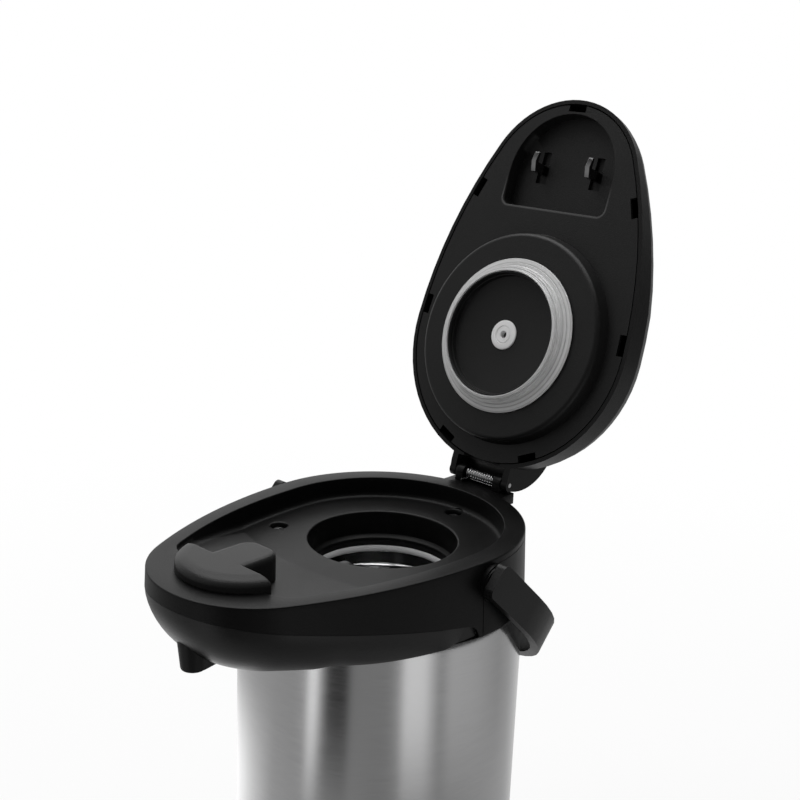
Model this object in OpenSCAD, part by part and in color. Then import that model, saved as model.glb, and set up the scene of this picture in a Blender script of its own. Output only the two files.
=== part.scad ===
// Pump vacuum flask (airpot) with its hinged lid standing open.
// Millimetres, +Z up, origin at the centre of the foot on the table.
// The spout and the nose of the egg-shaped head point to -Y, the lid hinge to +Y.
// Heights in the head and the lid are counted from the top of the head's rim.

/* [Flask body] */
// Outer radius of the steel body
body_r = 82; // [78:0.5:86]
// Height of the head's rim above the table
rim_z = 300; // [260:1:340]
// Sheet thickness of the steel body and liner
steel_t = 0.8; // [0.6:0.1:1.2]
// Vacuum gap between the body and the liner
vacuum_gap = 8; // [5:0.5:12]
// Inner radius of the liner's neck
neck_r = 41.3; // [40:0.1:42]
// Radius of the rolled bead on the neck
bead_r = 2; // [1.5:0.1:2.2]
// Height of the plastic base cup
base_h = 19; // [14:0.5:26]
// How far the base cup stands out past the steel body
base_proud = 1.4; // [1:0.1:3]
// Height of the rubber foot ring under the base cup
foot_h = 3.2; // [2:0.1:5]
// Radial width of the rubber foot ring
foot_w = 13; // [8:0.5:18]

/* [Head] */
// How far the head's rear arc lies inside the steel body's radius, at the rim
head_step = 1.4; // [0.4:0.1:2.4]
// Radius of the head's nose arc
head_nose_r = 57.6; // [54:0.1:61]
// Distance from the body axis to the centre of the nose arc
nose_reach = 93.2; // [88:0.1:98]
// Radius of the long side arcs of the head
head_side_r = 275.7; // [240:1:320]
// Outward draft of the head's wall for each millimetre of depth
head_draft = 0.045; // [0.02:0.005:0.06]
// Wall thickness of the plastic mouldings
wall = 2.4; // [2:0.1:3]
// Rounding of the head's upper edge
rim_edge = 0.9; // [0.4:0.1:1.5]
// Width of the rim at the rear of the tray
rim_w_rear = 12; // [10:0.5:13]
// Width of the rim at the nose of the tray
rim_w_nose = 9.2; // [8:0.2:11]
// Depth of the tray below the rim
tray_depth = 12.4; // [11:0.1:14]
// Height of the sloped strip at the foot of the tray's wall
tray_foot = 4.3; // [2:0.1:5]
// Radius of the arched crease where the tray turns up to the nose
crease_r = 175; // [150:1:200]
// Distance of the crease from the tip of the nose
crease_from_tip = 87.8; // [83:0.2:92]
// Rise of the front ramp for each millimetre forward
ramp_rise = 0.148; // [0.13:0.002:0.15]
// How much wider the mouth is than the liner's neck
mouth_step = 1.3; // [1.1:0.1:2]
// Depth of the mouth's well below the rim
well_depth = 30; // [29:0.2:31]
// Distance of each deck screw from the tray's rear wall
screw_inset = 6.6; // [6.2:0.1:8]
// Radius of the recess around each deck screw
screw_recess_r = 4.8; // [4.2:0.1:5]
// Depth of the parting plane between head and bowl, at the body axis
seam_depth = 36.7; // [35:0.1:38]
// Fall of the parting plane for each millimetre to the rear
seam_fall = 0.184; // [0.17:0.002:0.2]
// Depth of the rear collar's lower edge below the rim
collar_depth = 41.5; // [40:0.1:43]
// How far the bowl's end lies in front of the body axis
bowl_end = 10; // [9:0.2:13]
// How far the joint between head and rear collar lies in front of the body axis
collar_joint = 7; // [6:0.2:8]

/* [Bowl and spout] */
// How far the bowl's floor draws in from the nose
bowl_inset = 38; // [34:0.5:42]
// Depth of the bowl's floor below the rim at the front of the body
bowl_depth = 51.2; // [49:0.1:54]
// Roundness of the bowl's flank, 1 is straight and 2 a quarter ellipse
bowl_round = 1.75; // [1.2:0.05:2]
// Distance of the spout's axis from the tip of the nose
spout_from_tip = 14.8; // [13:0.2:18]
// Depth of the spout's tip below the rim
spout_depth = 46; // [44.5:0.5:50]
// Outer radius of the spout at its tip
spout_tip_r = 6.6; // [6:0.1:7.2]
// Outer radius of the spout at its root
spout_root_r = 8; // [7.6:0.1:8.6]
// Bore radius of the outlet duct and the spout
duct_bore_r = 4.2; // [3.5:0.1:4.5]
// Wall of the outlet duct
duct_wall = 1; // [0.8:0.1:1.4]
// Depth of the outlet duct's axis below the rim
duct_depth = 23.5; // [22.5:0.1:24]
// How far the dip tube lies in front of the body axis
dip_reach = 30; // [27:0.5:31]
// Outer radius of the dip tube
dip_r = 5; // [4:0.1:5.2]

/* [Lid] */
// Angle that the lid stands open
lid_open = 109.5; // [90:0.5:109.5]
// Distance of the hinge axis behind the head's rear arc
hinge_back = 6.2; // [5.6:0.1:7]
// Height of the hinge axis above the rim
hinge_z = 4.7; // [4.4:0.1:5.2]
// Radius of the hinge pin
pin_r = 1.6; // [1.2:0.1:1.8]
// Half width between the lid's hinge ears
ear_inner = 18.5; // [18:0.1:20]
// Thickness of each hinge ear
ear_t = 4; // [3:0.1:5]
// Outset of the lid's edge behind the head's edge
lid_inset = 0.9; // [0.4:0.1:1.4]
// Clear gap between the closed lid and the rim
lid_gap = 0.35; // [0.3:0.05:0.6]
// Height of the lid's crown over the body axis
lid_top = 46; // [44:0.5:50]
// Height of the lid's upright edge at the rear
lid_edge_rear = 8; // [6:0.2:9]
// Rise of the lid's shoulder at the rear
lid_rise_rear = 35; // [32:0.5:36]
// Rise of the lid's shoulder at the nose
lid_rise_nose = 17; // [16:0.2:18]
// Width of the lid's shoulder at the rear
lid_round_rear = 35; // [32:0.5:37]
// Width of the lid's shoulder at the nose
lid_round_nose = 14; // [13:0.2:15]
// Width of the lid's lip round the inner plate
lip_w = 3.2; // [2.6:0.1:4]
// Gap between the round boss under the lid and the tray's rear wall
boss_gap = 3.2; // [2.8:0.1:4.4]
// How far the boss stands below the lid's edge
boss_drop = 8.9; // [8:0.1:9.5]
// Length of each clip window in the inner plate
clip_len = 12.5; // [10:0.5:14]
// Width of each clip window in the inner plate
clip_w = 4.2; // [3.5:0.1:5]
// How much smaller the recess's arch is than the nose arc
recess_in = 19.4; // [19.1:0.1:19.7]
// Distance of the centre of the recess's arch from the tip of the nose
recess_from_tip = 47.8; // [46.8:0.2:48.8]
// Distance of the recess's straight edge from the centre of its arch
recess_len = 22; // [20:0.5:24]
// Rounding of the recess's two corners
recess_corner = 5; // [3:0.2:7]
// Height of the recess's floor above the lid's edge
recess_h = 10.4; // [10:0.1:10.8]

/* [Seal and pump] */
// How far the seal's outer edge reaches past the mouth
seal_over = 4.8; // [4:0.1:5.4]
// How far the seal's lip stands below the lid's edge
seal_drop = 17; // [15:0.1:17.2]
// How far the seal's lip lies inside the mouth's radius
lip_in = 4.9; // [4.5:0.1:5.6]
// How far the black disc inside the seal stands below the lid's edge
disc_drop = 11.1; // [10.6:0.1:11.6]
// Radius of the air valve's flange
valve_r = 9; // [7:0.2:11]
// Radius of the air hole in the valve
valve_hole_r = 2.2; // [1.5:0.1:3]
// Outer radius of the pump button
button_r = 36; // [33:0.5:38]
// Travel of the pump button
button_travel = 22; // [16:0.5:23]
// How far the button stands proud of the lid's crown
button_proud = 4; // [2:0.5:6]
// Running gap round the pump button
button_gap = 0.6; // [0.4:0.1:1]
// Outer radius of the bellows' folds
bellows_r = 33; // [30:0.5:34]
// Depth of the bellows' folds
fold_depth = 7; // [5:0.5:9]
// Number of folds in the bellows
folds = 6; // [4:1:8]
// Mean radius of the pump spring
pump_coil_r = 17; // [14:0.5:20]
// Number of curls in the pump spring
pump_curls = 7; // [5:1:9]
// Wire radius of the pump spring
pump_wire_r = 1; // [0.7:0.1:1.2]

/* [Latch] */
// Gap between the keeper's front arc and the recess that closes over it
keeper_gap = 2.9; // [2.4:0.1:4]
// Distance of the keeper's straight rear edge from the tip of the nose
keeper_from_tip = 37; // [36:0.2:38]
// Half width of the keeper's stem
stem_w = 13; // [11:0.1:14]
// Length of the stem behind the crossbar
stem_len = 26; // [22:0.5:28]
// Height of the keeper's top above the rim
keeper_top = 7.4; // [6.6:0.1:9]
// Rounding of the keeper's upper edges
keeper_round = 3; // [2:0.1:3.6]
// Distance of each latch hook from the middle
hook_x = 20; // [19:0.1:21]
// Width of each latch hook
hook_w = 3.4; // [2.4:0.1:4]
// Bite of each hook under the keeper
hook_bite = 1.5; // [1:0.1:2]
// Travel of the latch slide
latch_travel = 4; // [3:0.1:4.2]
// Half width of the thumb pad
pad_w = 9.4; // [8:0.2:11]
// Length of the thumb pad
pad_len = 12; // [10:0.5:12.5]

/* [Carry handle] */
// Depth of the handle's pivot axis below the rim
pivot_depth = 13; // [12:0.1:15]
// Angle that the handle hangs below level
handle_hang = 42.6; // [40:0.2:46]
// Gap between the handle's arms and the round bosses behind them
arm_gap = 0.3; // [0.3:0.1:1.5]
// Thickness of the handle's channel section
handle_t = 5.6; // [5:0.2:8]
// Width of the handle's band
handle_w = 19.5; // [17:0.5:22]
// Length of the handle from its pivot to the outside of its grip
handle_len = 122; // [120:0.5:130]
// Length of the straight part of each arm past the pivot
arm_straight = 33; // [25:1:40]
// How far each arm runs on past its pivot
arm_end = 8.6; // [7:0.2:10]
// Wall of the handle's channel section
handle_wall = 2; // [1.6:0.1:2.6]
// Radius of the round boss behind each arm
trunnion_r = 10.2; // [9:0.1:11]
// Radius of the pivot pins
pivot_r = 4; // [3:0.1:5]

/* [Hidden] */
$fn = 96;

// Running clearance of a pin in its bore, and of two pieces that pass each other
run_gap = 0.06;
pass_gap = 0.3;
far = 200;

// Sizes that follow from the body's radius and the tip of the nose
head_rear_r = body_r - head_step;
nose_tip = nose_reach + head_nose_r;
crease_reach = nose_tip - crease_from_tip;
mouth_r = neck_r + mouth_step;
spout_reach = nose_tip - spout_from_tip;
hinge_y = head_rear_r + hinge_back;
recess_r = head_nose_r - recess_in;
recess_reach = nose_tip - recess_from_tip;
recess_back = recess_reach - recess_len;
keeper_r = recess_r - keeper_gap;
keeper_span = sqrt(keeper_r ^ 2 - (nose_tip - keeper_from_tip - recess_reach) ^ 2);
keeper_back = nose_tip - keeper_from_tip;
stem_back = keeper_back - stem_len;
seal_r = mouth_r + seal_over;
lip_r = mouth_r - lip_in;

// Head outline: [centre, radius, angle] for points on four tangent arcs
side_d1 = head_side_r - head_rear_r;
side_d2 = head_side_r - head_nose_r;
side_cy = (side_d2 ^ 2 - side_d1 ^ 2 - nose_reach ^ 2) / (2 * nose_reach);
side_cx = sqrt(side_d1 ^ 2 - side_cy ^ 2);
ang_rear = atan2(-side_cy, side_cx);
ang_nose = atan2(-nose_reach - side_cy, side_cx);
function span(a, b, n) = [for (i = [0:n - 1]) a + (b - a) * i / n];
EGG = concat(
  [for (a = span(ang_nose, ang_rear, 8)) [[-side_cx, side_cy], head_side_r, a]],
  [for (a = span(ang_rear, 180 - ang_rear, 32)) [[0, 0], head_rear_r, a]],
  [for (a = span(180 - ang_rear, 180 - ang_nose, 8)) [[side_cx, side_cy], head_side_r, a]],
  [for (a = span(180 - ang_nose, 360 + ang_nose, 24)) [[0, -nose_reach], head_nose_r, a]]);
function egg_at(e, inset) = e[0] + (e[1] - inset) * [cos(e[2]), sin(e[2])];
function egg_ring(inset) = [for (e = EGG) egg_at(e, inset)];
function level(ring, z) = [for (p = ring) [p[0], p[1], z]];
function arc(c, r, a, b, n) = [for (i = [0:n]) c + r * [cos(a + (b - a) * i / n), sin(a + (b - a) * i / n)]];
function flip(list) = [for (i = [len(list) - 1:-1:0]) list[i]];
function ease(u) = let (v = max(0, min(1, u))) v * v * (3 - 2 * v);

// Heights of the body, counted from the table
collar_bot = rim_z - collar_depth;
shell_bot = 7;
step_z = collar_bot - 2;
step_in = body_r - 2.4;
shoulder_z = rim_z - collar_depth + 3;
liner_r = body_r - steel_t - vacuum_gap;
liner_bot = 24;
liner_knee = 14;
liner_top = shoulder_z - 24;
shell_weld = step_z - 6;
neck_out = neck_r + steel_t;
bead_z = rim_z - well_depth - 5.2;
neck_top = bead_z - bead_r;

// Head values, counted from the rim
head_floor = tray_depth + wall;
tray_rear_r = head_rear_r - rim_w_rear;
screw_circle_r = tray_rear_r - screw_inset;
screw_seat = tray_depth + 4.6;
screw_pilot_r = 1.95;
boss_r = tray_rear_r - boss_gap;
screw_angles = [90, 210, 330];
boss_end = 20;
collar_in = head_rear_r + head_draft * collar_depth - 2.6;
block_half = ear_inner + ear_t + 0.5;
knuckle_r = 4.2;
knuckle_in = 11.5;
knuckle_out = ear_inner - 1;
block_drop = 0.6;
block_rear = hinge_y + 3.7;
duct_r = duct_bore_r + duct_wall;
socket_r = dip_r + 2;
seam_slope = atan(seam_fall);
function seam(y) = -seam_depth - seam_fall * y;

// Bowl values
bowl_front = body_r + 3;
function bowl_floor(y) = y > -bowl_front
  ? -bowl_depth + 0.174 * (y + bowl_front)
  : -bowl_depth - 0.13 * (y + bowl_front);
function bowl_draw(y) = bowl_inset * ease((-20 - y) / 75);

// Lid values, counted from the rim with the lid closed
lip_out = lid_inset;
crown_front = 36;
function lid_u(y) = max(0, min(1, (y + nose_reach + head_nose_r) / (nose_reach + head_nose_r - crown_front)));
function mix(a, b, u) = a + (b - a) * u;
plate_z = lid_gap + 0.25;
plate_t = 2.4;
horn_r = 35;
horn_c = [hinge_y - 31.5, hinge_z + 1.3];
ear_r = 4;
slot_r = 9.5;
guide_r = button_r + button_gap;
guide_t = 2;
guide_end = 6;
roof_z = recess_h + 2;
flange_z = -boss_drop + 2.2;
bellows_z = flange_z + 3.7;
button_top = lid_top + button_proud;
skirt_z = button_top - button_travel - 2;
seat_z = 33;
slide_z = roof_z + pass_gap;
slide_t = 2;
hook_front = keeper_back + hook_bite;
hook_drop = 2.2;
hook_nib = 3;
leg_front = keeper_back - 4.5;
leg_d = 6;
slide_front = keeper_back + 5;
slide_back = recess_back + 15;
stop_back = recess_back + 3;
hook_slot_front = keeper_back + 4.4;
hook_slot_len = 20;
stop_t = 2;
latch_coil_r = 2.2;
latch_wire_r = 0.35;
latch_coil_z = slide_z + slide_t + latch_coil_r + latch_wire_r + 0.3;
hinge_coil_r = 3;
hinge_wire_r = 0.5;
hinge_curls = 11;
coil_end = 10.2;

// Handle values
trunnion_x = body_r + 2.2;
handle_in = trunnion_x + arm_gap;
handle_half = handle_in + handle_t;
grip_depth = handle_len - arm_straight;

// Solid between rings of points that have the same count
module loft(rings) {
  n = len(rings[0]);
  m = len(rings);
  points = [for (r = rings) for (p = r) p];
  sides = [for (k = [0:m - 2]) for (i = [0:n - 1])
    let (a = k * n + i, b = k * n + (i + 1) % n, c = b + n, d = a + n)
    each [[a, d, b], [b, d, c]]];
  first = [for (i = [0:n - 1]) i];
  last = [for (i = [n - 1:-1:0]) (m - 1) * n + i];
  polyhedron(points, concat(sides, [first], [last]));
}

// Solid between rings, closed at both ends by a fan to a point
module capped_loft(rings, low, high) {
  n = len(rings[0]);
  m = len(rings);
  points = concat([for (r = rings) for (p = r) p], [low, high]);
  sides = [for (k = [0:m - 2]) for (i = [0:n - 1])
    let (a = k * n + i, b = k * n + (i + 1) % n, c = b + n, d = a + n)
    each [[a, d, b], [b, d, c]]];
  first = [for (i = [0:n - 1]) [i, (i + 1) % n, m * n]];
  last = [for (i = [0:n - 1]) let (k = (m - 1) * n) [k + (i + 1) % n, k + i, m * n + 1]];
  polyhedron(points, concat(sides, first, last));
}

// Round wire along a path; the path never runs along the reference axis
function unit(v) = v / norm(v);
function along(path, i) = unit(path[min(i + 1, len(path) - 1)] - path[max(i - 1, 0)]);
wire_sides = 6;
module wire(path, r, axis) {
  rings = [for (i = [0:len(path) - 1])
    let (t = along(path, i), u = unit(cross(t, axis)), v = cross(t, u))
    [for (k = [0:wire_sides - 1]) path[i] + r * (cos(60 * k) * u + sin(60 * k) * v)]];
  loft(rings);
}
curl_rings = 8;
function least_gap(path, r) = min([for (i = [0:len(path) - 1])
  for (j = [i + 5:1:len(path) - 1]) norm(path[i] - path[j])]) - 2 * r;

module at_rim() {
  translate([0, 0, rim_z]) children();
}

module lid_pose() {
  at_rim() translate([0, hinge_y, hinge_z]) rotate([-lid_open, 0, 0])
    translate([0, -hinge_y, -hinge_z]) children();
}

// Turns a profile drawn as [y, z] into a solid that runs across X
module across(half) {
  rotate([90, 0, 90]) translate([0, 0, -half]) linear_extrude(2 * half) children();
}

module head_block(inset, top, bottom) {
  loft([level(egg_ring(inset - head_draft * bottom), -bottom),
    level(egg_ring(inset - head_draft * top), -top)]);
}

// Space of the tray above its floor and ramp; its wall has a sloped foot
ramp_end = crease_r + 90;
function tray_floor(p) = -tray_depth
  + ramp_rise * max(0, norm(p - [0, crease_r - crease_reach]) - crease_r);
module tray_space(top) {
  wall_foot = [for (e = EGG) let (w = rim_w(egg_at(e, rim_w_nose)), p = egg_at(e, w)) [p[0], p[1], tray_floor(p) + tray_foot]];
  floor_edge = [for (e = EGG) let (w = rim_w(egg_at(e, rim_w_nose)) + tray_foot + 0.3, p = egg_at(e, w)) [p[0], p[1], tray_floor(p) - 0.3]];
  intersection() {
    loft([level(floor_edge, -2 * tray_depth), floor_edge, wall_foot, level(tray_outline(), top)]);
    translate([0, crease_r - crease_reach, 0]) rotate_extrude($fn = 180)
      polygon([[0, -tray_depth], [crease_r, -tray_depth],
        [ramp_end, -tray_depth + ramp_rise * (ramp_end - crease_r)], [ramp_end, top + 1], [0, top + 1]]);
  }
}
function rim_w(p) = p[1] < -nose_reach && abs(p[0]) < keeper_span ? recess_in - 1.4
  : mix(rim_w_rear, rim_w_nose, ease((20 - p[1]) / (20 + nose_reach)));
function tray_outline() = [for (e = EGG) egg_at(e, rim_w(egg_at(e, rim_w_nose)))];

module foot_ring() {
  r = body_r - 2.5;
  color("dimgray") rotate_extrude()
    polygon([[r - foot_w + 1, 0], [r - 1, 0], [r, 1], [r, foot_h], [r - foot_w, foot_h], [r - foot_w, 1]]);
}

module base_cup() {
  r = body_r + base_proud;
  foot_r = body_r - 2.2;
  color([0.09, 0.09, 0.09]) rotate_extrude()
    polygon([[0, foot_h + 0.8], [foot_r - foot_w - 1, foot_h + 0.8], [foot_r - foot_w - 0.6, foot_h],
      [foot_r, foot_h], [foot_r, 1.5], [r - 1.5, 1.5], [r, 3], [r, base_h - 0.8], [r - 0.7, base_h],
      [body_r + 0.2, base_h], [body_r + 0.2, shell_bot], [body_r - 5, shell_bot],
      [body_r - 5, shell_bot - 1], [0, shell_bot - 1]]);
}

module shell_bottom() {
  r = body_r - steel_t;
  color("silver") rotate_extrude()
    polygon([[0, 11], [r - 14, 11], [r - 10, 8], [r, 8], [r, 9], [r - 9.6, 9], [r - 13.6, 12], [0, 12]]);
}

module outer_shell() {
  color("silver") rotate_extrude() polygon([[body_r - steel_t, shell_bot], [body_r, shell_bot],
    [body_r, shell_weld], [body_r - steel_t, shell_weld]]);
}

module shell_shoulder() {
  r_top = neck_out + steel_t;
  bend = 3;
  wall_line = function (t) concat(
    [[body_r - t, shell_weld], [body_r - t, step_z - 0.4 * t], [step_in - t, step_z + 1.8 - 0.4 * t]],
    arc([step_in - bend, shoulder_z - bend], bend - t, 0, 90, 6),
    [[r_top + 1, shoulder_z - t], [r_top - t, shoulder_z + 1 - t / 2], [r_top - t, neck_top - 0.1]]);
  color("silver") rotate_extrude() polygon(concat(wall_line(0), flip(wall_line(steel_t))));
}

module liner_bottom() {
  wall_line = function (t) concat([[0, liner_bot + t]],
    arc([liner_r - liner_knee, liner_bot + liner_knee], liner_knee - t, -90, 0, 6));
  color("gainsboro") rotate_extrude() polygon(concat(wall_line(0), flip(wall_line(steel_t))));
}

module liner_tube() {
  color("gainsboro") rotate_extrude() polygon([[liner_r - steel_t, liner_bot + liner_knee],
    [liner_r, liner_bot + liner_knee], [liner_r, liner_top], [liner_r - steel_t, liner_top - steel_t / 2]]);
}

module liner_neck() {
  rise = 18;
  wall_line = function (t) concat(
    [for (a = [0:15:90]) [mix(neck_out, liner_r, cos(a)) - t, liner_top + rise * sin(a) - t / 2]],
    [[neck_out - t, bead_z]]);
  color("gainsboro") rotate_extrude() union() {
    polygon(concat(wall_line(0), flip(wall_line(steel_t))));
    translate([neck_r + 0.4, bead_z]) circle(bead_r, $fn = 32);
  }
}

module clamp_ring() {
  low = shoulder_z - rim_z;
  ring_top = low + 4.5;
  color([0.12, 0.12, 0.12]) at_rim() difference() {
    union() {
      rotate_extrude() polygon([[neck_out + 5, low], [step_in - 9, low], [step_in - 9, ring_top],
        [neck_out + 5, ring_top]]);
      for (a = screw_angles) rotate([0, 0, a]) translate([screw_circle_r, 0, low])
        cylinder(r = 6, h = -boss_end - low);
    }
    for (a = screw_angles) rotate([0, 0, a]) translate([screw_circle_r, 0, low + 1])
      cylinder(r = screw_pilot_r, h = far);
  }
}

module neck_gasket() {
  low = bead_z - rim_z + bead_r;
  color("whitesmoke") at_rim() rotate_extrude()
    polygon([[neck_r - 0.7, low], [neck_r + 3.3, low], [neck_r + 3.3, -well_depth], [neck_r - 0.7, -well_depth]]);
}

module hinge_block() {
  difference() {
    union() {
      translate([-block_half, head_rear_r - rim_w_rear + 3, -7.5])
        cube([2 * block_half, block_rear - head_rear_r + rim_w_rear - 3, 7.5 - block_drop]);
      for (s = [-1, 1]) translate([s > 0 ? knuckle_in : -knuckle_out, 0, 0]) {
        translate([0, hinge_y, hinge_z]) rotate([0, 90, 0]) cylinder(r = knuckle_r, h = knuckle_out - knuckle_in);
        translate([0, hinge_y - knuckle_r, -block_drop - 1])
          cube([knuckle_out - knuckle_in, block_rear - hinge_y + knuckle_r, hinge_z + block_drop + 1]);
      }
    }
    translate([-far, hinge_y, hinge_z]) rotate([0, 90, 0]) cylinder(r = pin_r + run_gap, h = 2 * far, $fn = 32);
  }
}

module head_housing() {
  skirt_low = collar_depth + 0.1;
  below = [[-far, -far], [-far, seam(-far)], [-bowl_end - 8.2, seam(-bowl_end - 8.2)],
    [-bowl_end - 4.7, seam(-bowl_end - 4.7) - 1], [-bowl_end - 1.6, seam(-bowl_end) - 3.2], [-bowl_end, -skirt_low + 0.8], [-bowl_end, -skirt_low],
    [-collar_joint, -skirt_low], [-collar_joint, -head_floor], [far, -head_floor], [far, -far]];
  color([0.11, 0.11, 0.11]) at_rim() difference() {
    union() {
      difference() {
        union() {
          head_block(0, rim_edge, skirt_low);
          loft([level(egg_ring(-head_draft * rim_edge), -rim_edge), level(egg_ring(rim_edge), 0)]);
        }
        across(far) polygon(below);
        head_block(2.6, head_floor, skirt_low + 1);
        translate([0, 0, -far]) difference() {
          translate([-far, -collar_joint, 0]) cube([2 * far, 2 * far, far - 3.6]);
          cylinder(r = collar_in - 0.3, h = far);
        }
        tray_space(rim_edge + 1);
      }
      translate([0, 0, -well_depth]) cylinder(r = mouth_r + wall, h = well_depth - tray_depth - 0.5);
      for (a = screw_angles) rotate([0, 0, a]) translate([screw_circle_r, 0, -boss_end])
        cylinder(r = screw_recess_r + 2, h = boss_end - tray_depth - 0.5);
      hinge_block();
    }
    translate([0, 0, -well_depth + 2]) cylinder(r = mouth_r, h = far);
    translate([0, 0, -far]) cylinder(r = mouth_r - 2.3, h = far);
    translate([0, 0, -tray_depth - 0.6]) cylinder(r1 = mouth_r, r2 = mouth_r + 1, h = 1);
    for (a = screw_angles) rotate([0, 0, a]) translate([screw_circle_r, 0, 0]) {
      translate([0, 0, -screw_seat]) cylinder(r = screw_recess_r, h = far, $fn = 48);
      translate([0, 0, -far]) cylinder(r = screw_pilot_r + 0.15, h = far, $fn = 32);
    }
    translate([0, -mouth_r + 5, -duct_depth]) rotate([90, 0, 0]) cylinder(r = duct_r + 0.15, h = far);
    for (s = [-1, 1]) translate([s * (collar_in - 0.2), 0, -pivot_depth]) rotate([0, s * 90, 0])
      cylinder(r = trunnion_r + 0.2, h = far);
  }
}

module rear_collar() {
  top = 3.7;
  out = function (z) head_rear_r + head_draft * z;
  color([0.1, 0.1, 0.1]) at_rim() difference() {
    union() {
      difference() {
        rotate_extrude() polygon([[collar_in, -collar_depth], [out(collar_depth) - 0.4, -collar_depth],
          [out(collar_depth), -collar_depth + 0.4], [out(top), -top], [collar_in, -top]]);
        translate([-far, -2 * far, -far]) cube([2 * far, 2 * far - collar_joint + 0.2, 2 * far]);
        translate([-block_half - 0.3, 0, -7.8]) cube([2 * block_half + 0.6, far, far]);
      }
      for (s = [-1, 1]) translate([s * (collar_in + 0.4), 0, -pivot_depth]) rotate([0, s * 90, 0]) {
        cylinder(r = trunnion_r, h = trunnion_x - 1.2 - collar_in - 0.4);
        cylinder(r = trunnion_r - 0.9, h = trunnion_x - collar_in - 0.4);
      }
    }
    translate([-far, 0, -pivot_depth]) rotate([0, 90, 0]) cylinder(r = pivot_r + 0.02, h = 2 * far);
  }
}

// Bowl: one section of the wall for each point round the front, seam, flank, floor and back
bowl_ring_in = collar_in + 0.3;
bowl_stop = bowl_end + 9.5;
ang_end = asin((-bowl_stop - side_cy) / head_side_r);
FRONT = concat(
  [for (a = span(180 - ang_end, 180 - ang_nose, 8)) [[side_cx, side_cy], head_side_r, a]],
  [for (a = span(180 - ang_nose, 360 + ang_nose, 24)) [[0, -nose_reach], head_nose_r, a]],
  [for (a = span(360 + ang_nose, 360 + ang_end, 8)) [[-side_cx, side_cy], head_side_r, a]],
  [[[-side_cx, side_cy], head_side_r, 360 + ang_end]]);
// Inset along a section's normal at which it comes down to a given radius about the axis
function inset_at(e, r) = let (n = [cos(e[2]), sin(e[2])], h = e[0] * n, q = e[0] * e[0] - r * r,
  k = h * h - q) k < 0 ? far : e[1] + h - sqrt(k);
function soft_min(a, b) = (a + b - sqrt((a - b) ^ 2 + 16)) / 2;
function bowl_section(e) =
  let (steps = 6, y0 = egg_at(e, 0)[1], start = head_draft * seam(y0) + 2 * ease((y0 + bowl_stop + 16) / 16),
    back_r = mix(bowl_ring_in, body_r + 0.5, ease((-16 - y0) / 12)),
    draw = max(start + 0.3, soft_min(start + bowl_draw(y0), inset_at(e, back_r + 0.9))),
    draw_in = min(draw + 0.8 * wall, inset_at(e, back_r + 0.2)),
    floor_p = egg_at(e, draw),
    floor_z = bowl_floor(floor_p[1]),
    back = floor_p / norm(floor_p) * back_r,
    fall = [for (k = [0:steps]) sin(90 * k / steps)],
    bend = [for (d = fall) 1 - (1 - d ^ bowl_round) ^ (1 / bowl_round)])
  concat(
    [for (k = [0:steps]) let (p = egg_at(e, mix(start, draw, bend[k]))) [p[0], p[1], mix(seam(p[1]), floor_z, fall[k])]],
    [[back[0], back[1], floor_z], [back[0], back[1], floor_z + wall]],
    [for (k = [steps:-1:0]) let (p = egg_at(e, mix(start + wall, draw_in, bend[k])))
      [p[0], p[1], mix(seam(p[1]), floor_z + wall, fall[k])]]);
function middle(ring) = [for (k = [0:2]) (min([for (p = ring) p[k]]) + max([for (p = ring) p[k]])) / 2];

module front_bowl() {
  rings = [for (e = FRONT) bowl_section(e)];
  root = duct_depth + duct_r + 2.5;
  keel = [[2, 0.6, 6.4], [2, 12, 8], [9, 0.6, 5.4], [23, 3, 3.6]];
  color([0.1, 0.1, 0.1]) at_rim() difference() {
    union() {
      capped_loft(rings, middle(rings[0]), middle(rings[len(rings) - 1]));
      hull() for (k = keel) translate([0, -spout_reach + k[0], -spout_depth + k[1]]) cylinder(r = k[2], h = 0.5, $fn = 32);
    }
    translate([0, -spout_reach, -far]) cylinder(r = spout_tip_r + 0.1, h = far - spout_depth + 0.01);
    translate([0, -spout_reach, -spout_depth]) cylinder(r1 = spout_tip_r + 0.1, r2 = spout_root_r + 0.1, h = spout_depth - root);
    translate([0, -spout_reach, -root - 0.01]) cylinder(r = spout_root_r + 0.1, h = root - 10);
  }
}

// Nozzle pushed up over the duct's end; its sleeve is slotted for the duct behind it
module spout_nozzle() {
  top = duct_depth - duct_r + 1.5;
  root = duct_depth + duct_r + 2.5;
  socket = root + 5;
  tip = 1.2;
  color([0.1, 0.1, 0.1]) at_rim() translate([0, -spout_reach, 0]) difference() {
    rotate_extrude() polygon([[duct_bore_r, -spout_depth], [spout_tip_r - tip, -spout_depth],
      [spout_tip_r - 0.3, -spout_depth + 0.4], [spout_tip_r, -spout_depth + tip], [spout_root_r, -root],
      [spout_root_r, -top], [duct_r + 0.05, -top], [duct_r + 0.05, -socket], [duct_bore_r, -socket]]);
    translate([0, 0, -duct_depth]) rotate([-90, 0, 0]) cylinder(r = duct_r + 0.2, h = far);
  }
}

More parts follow.
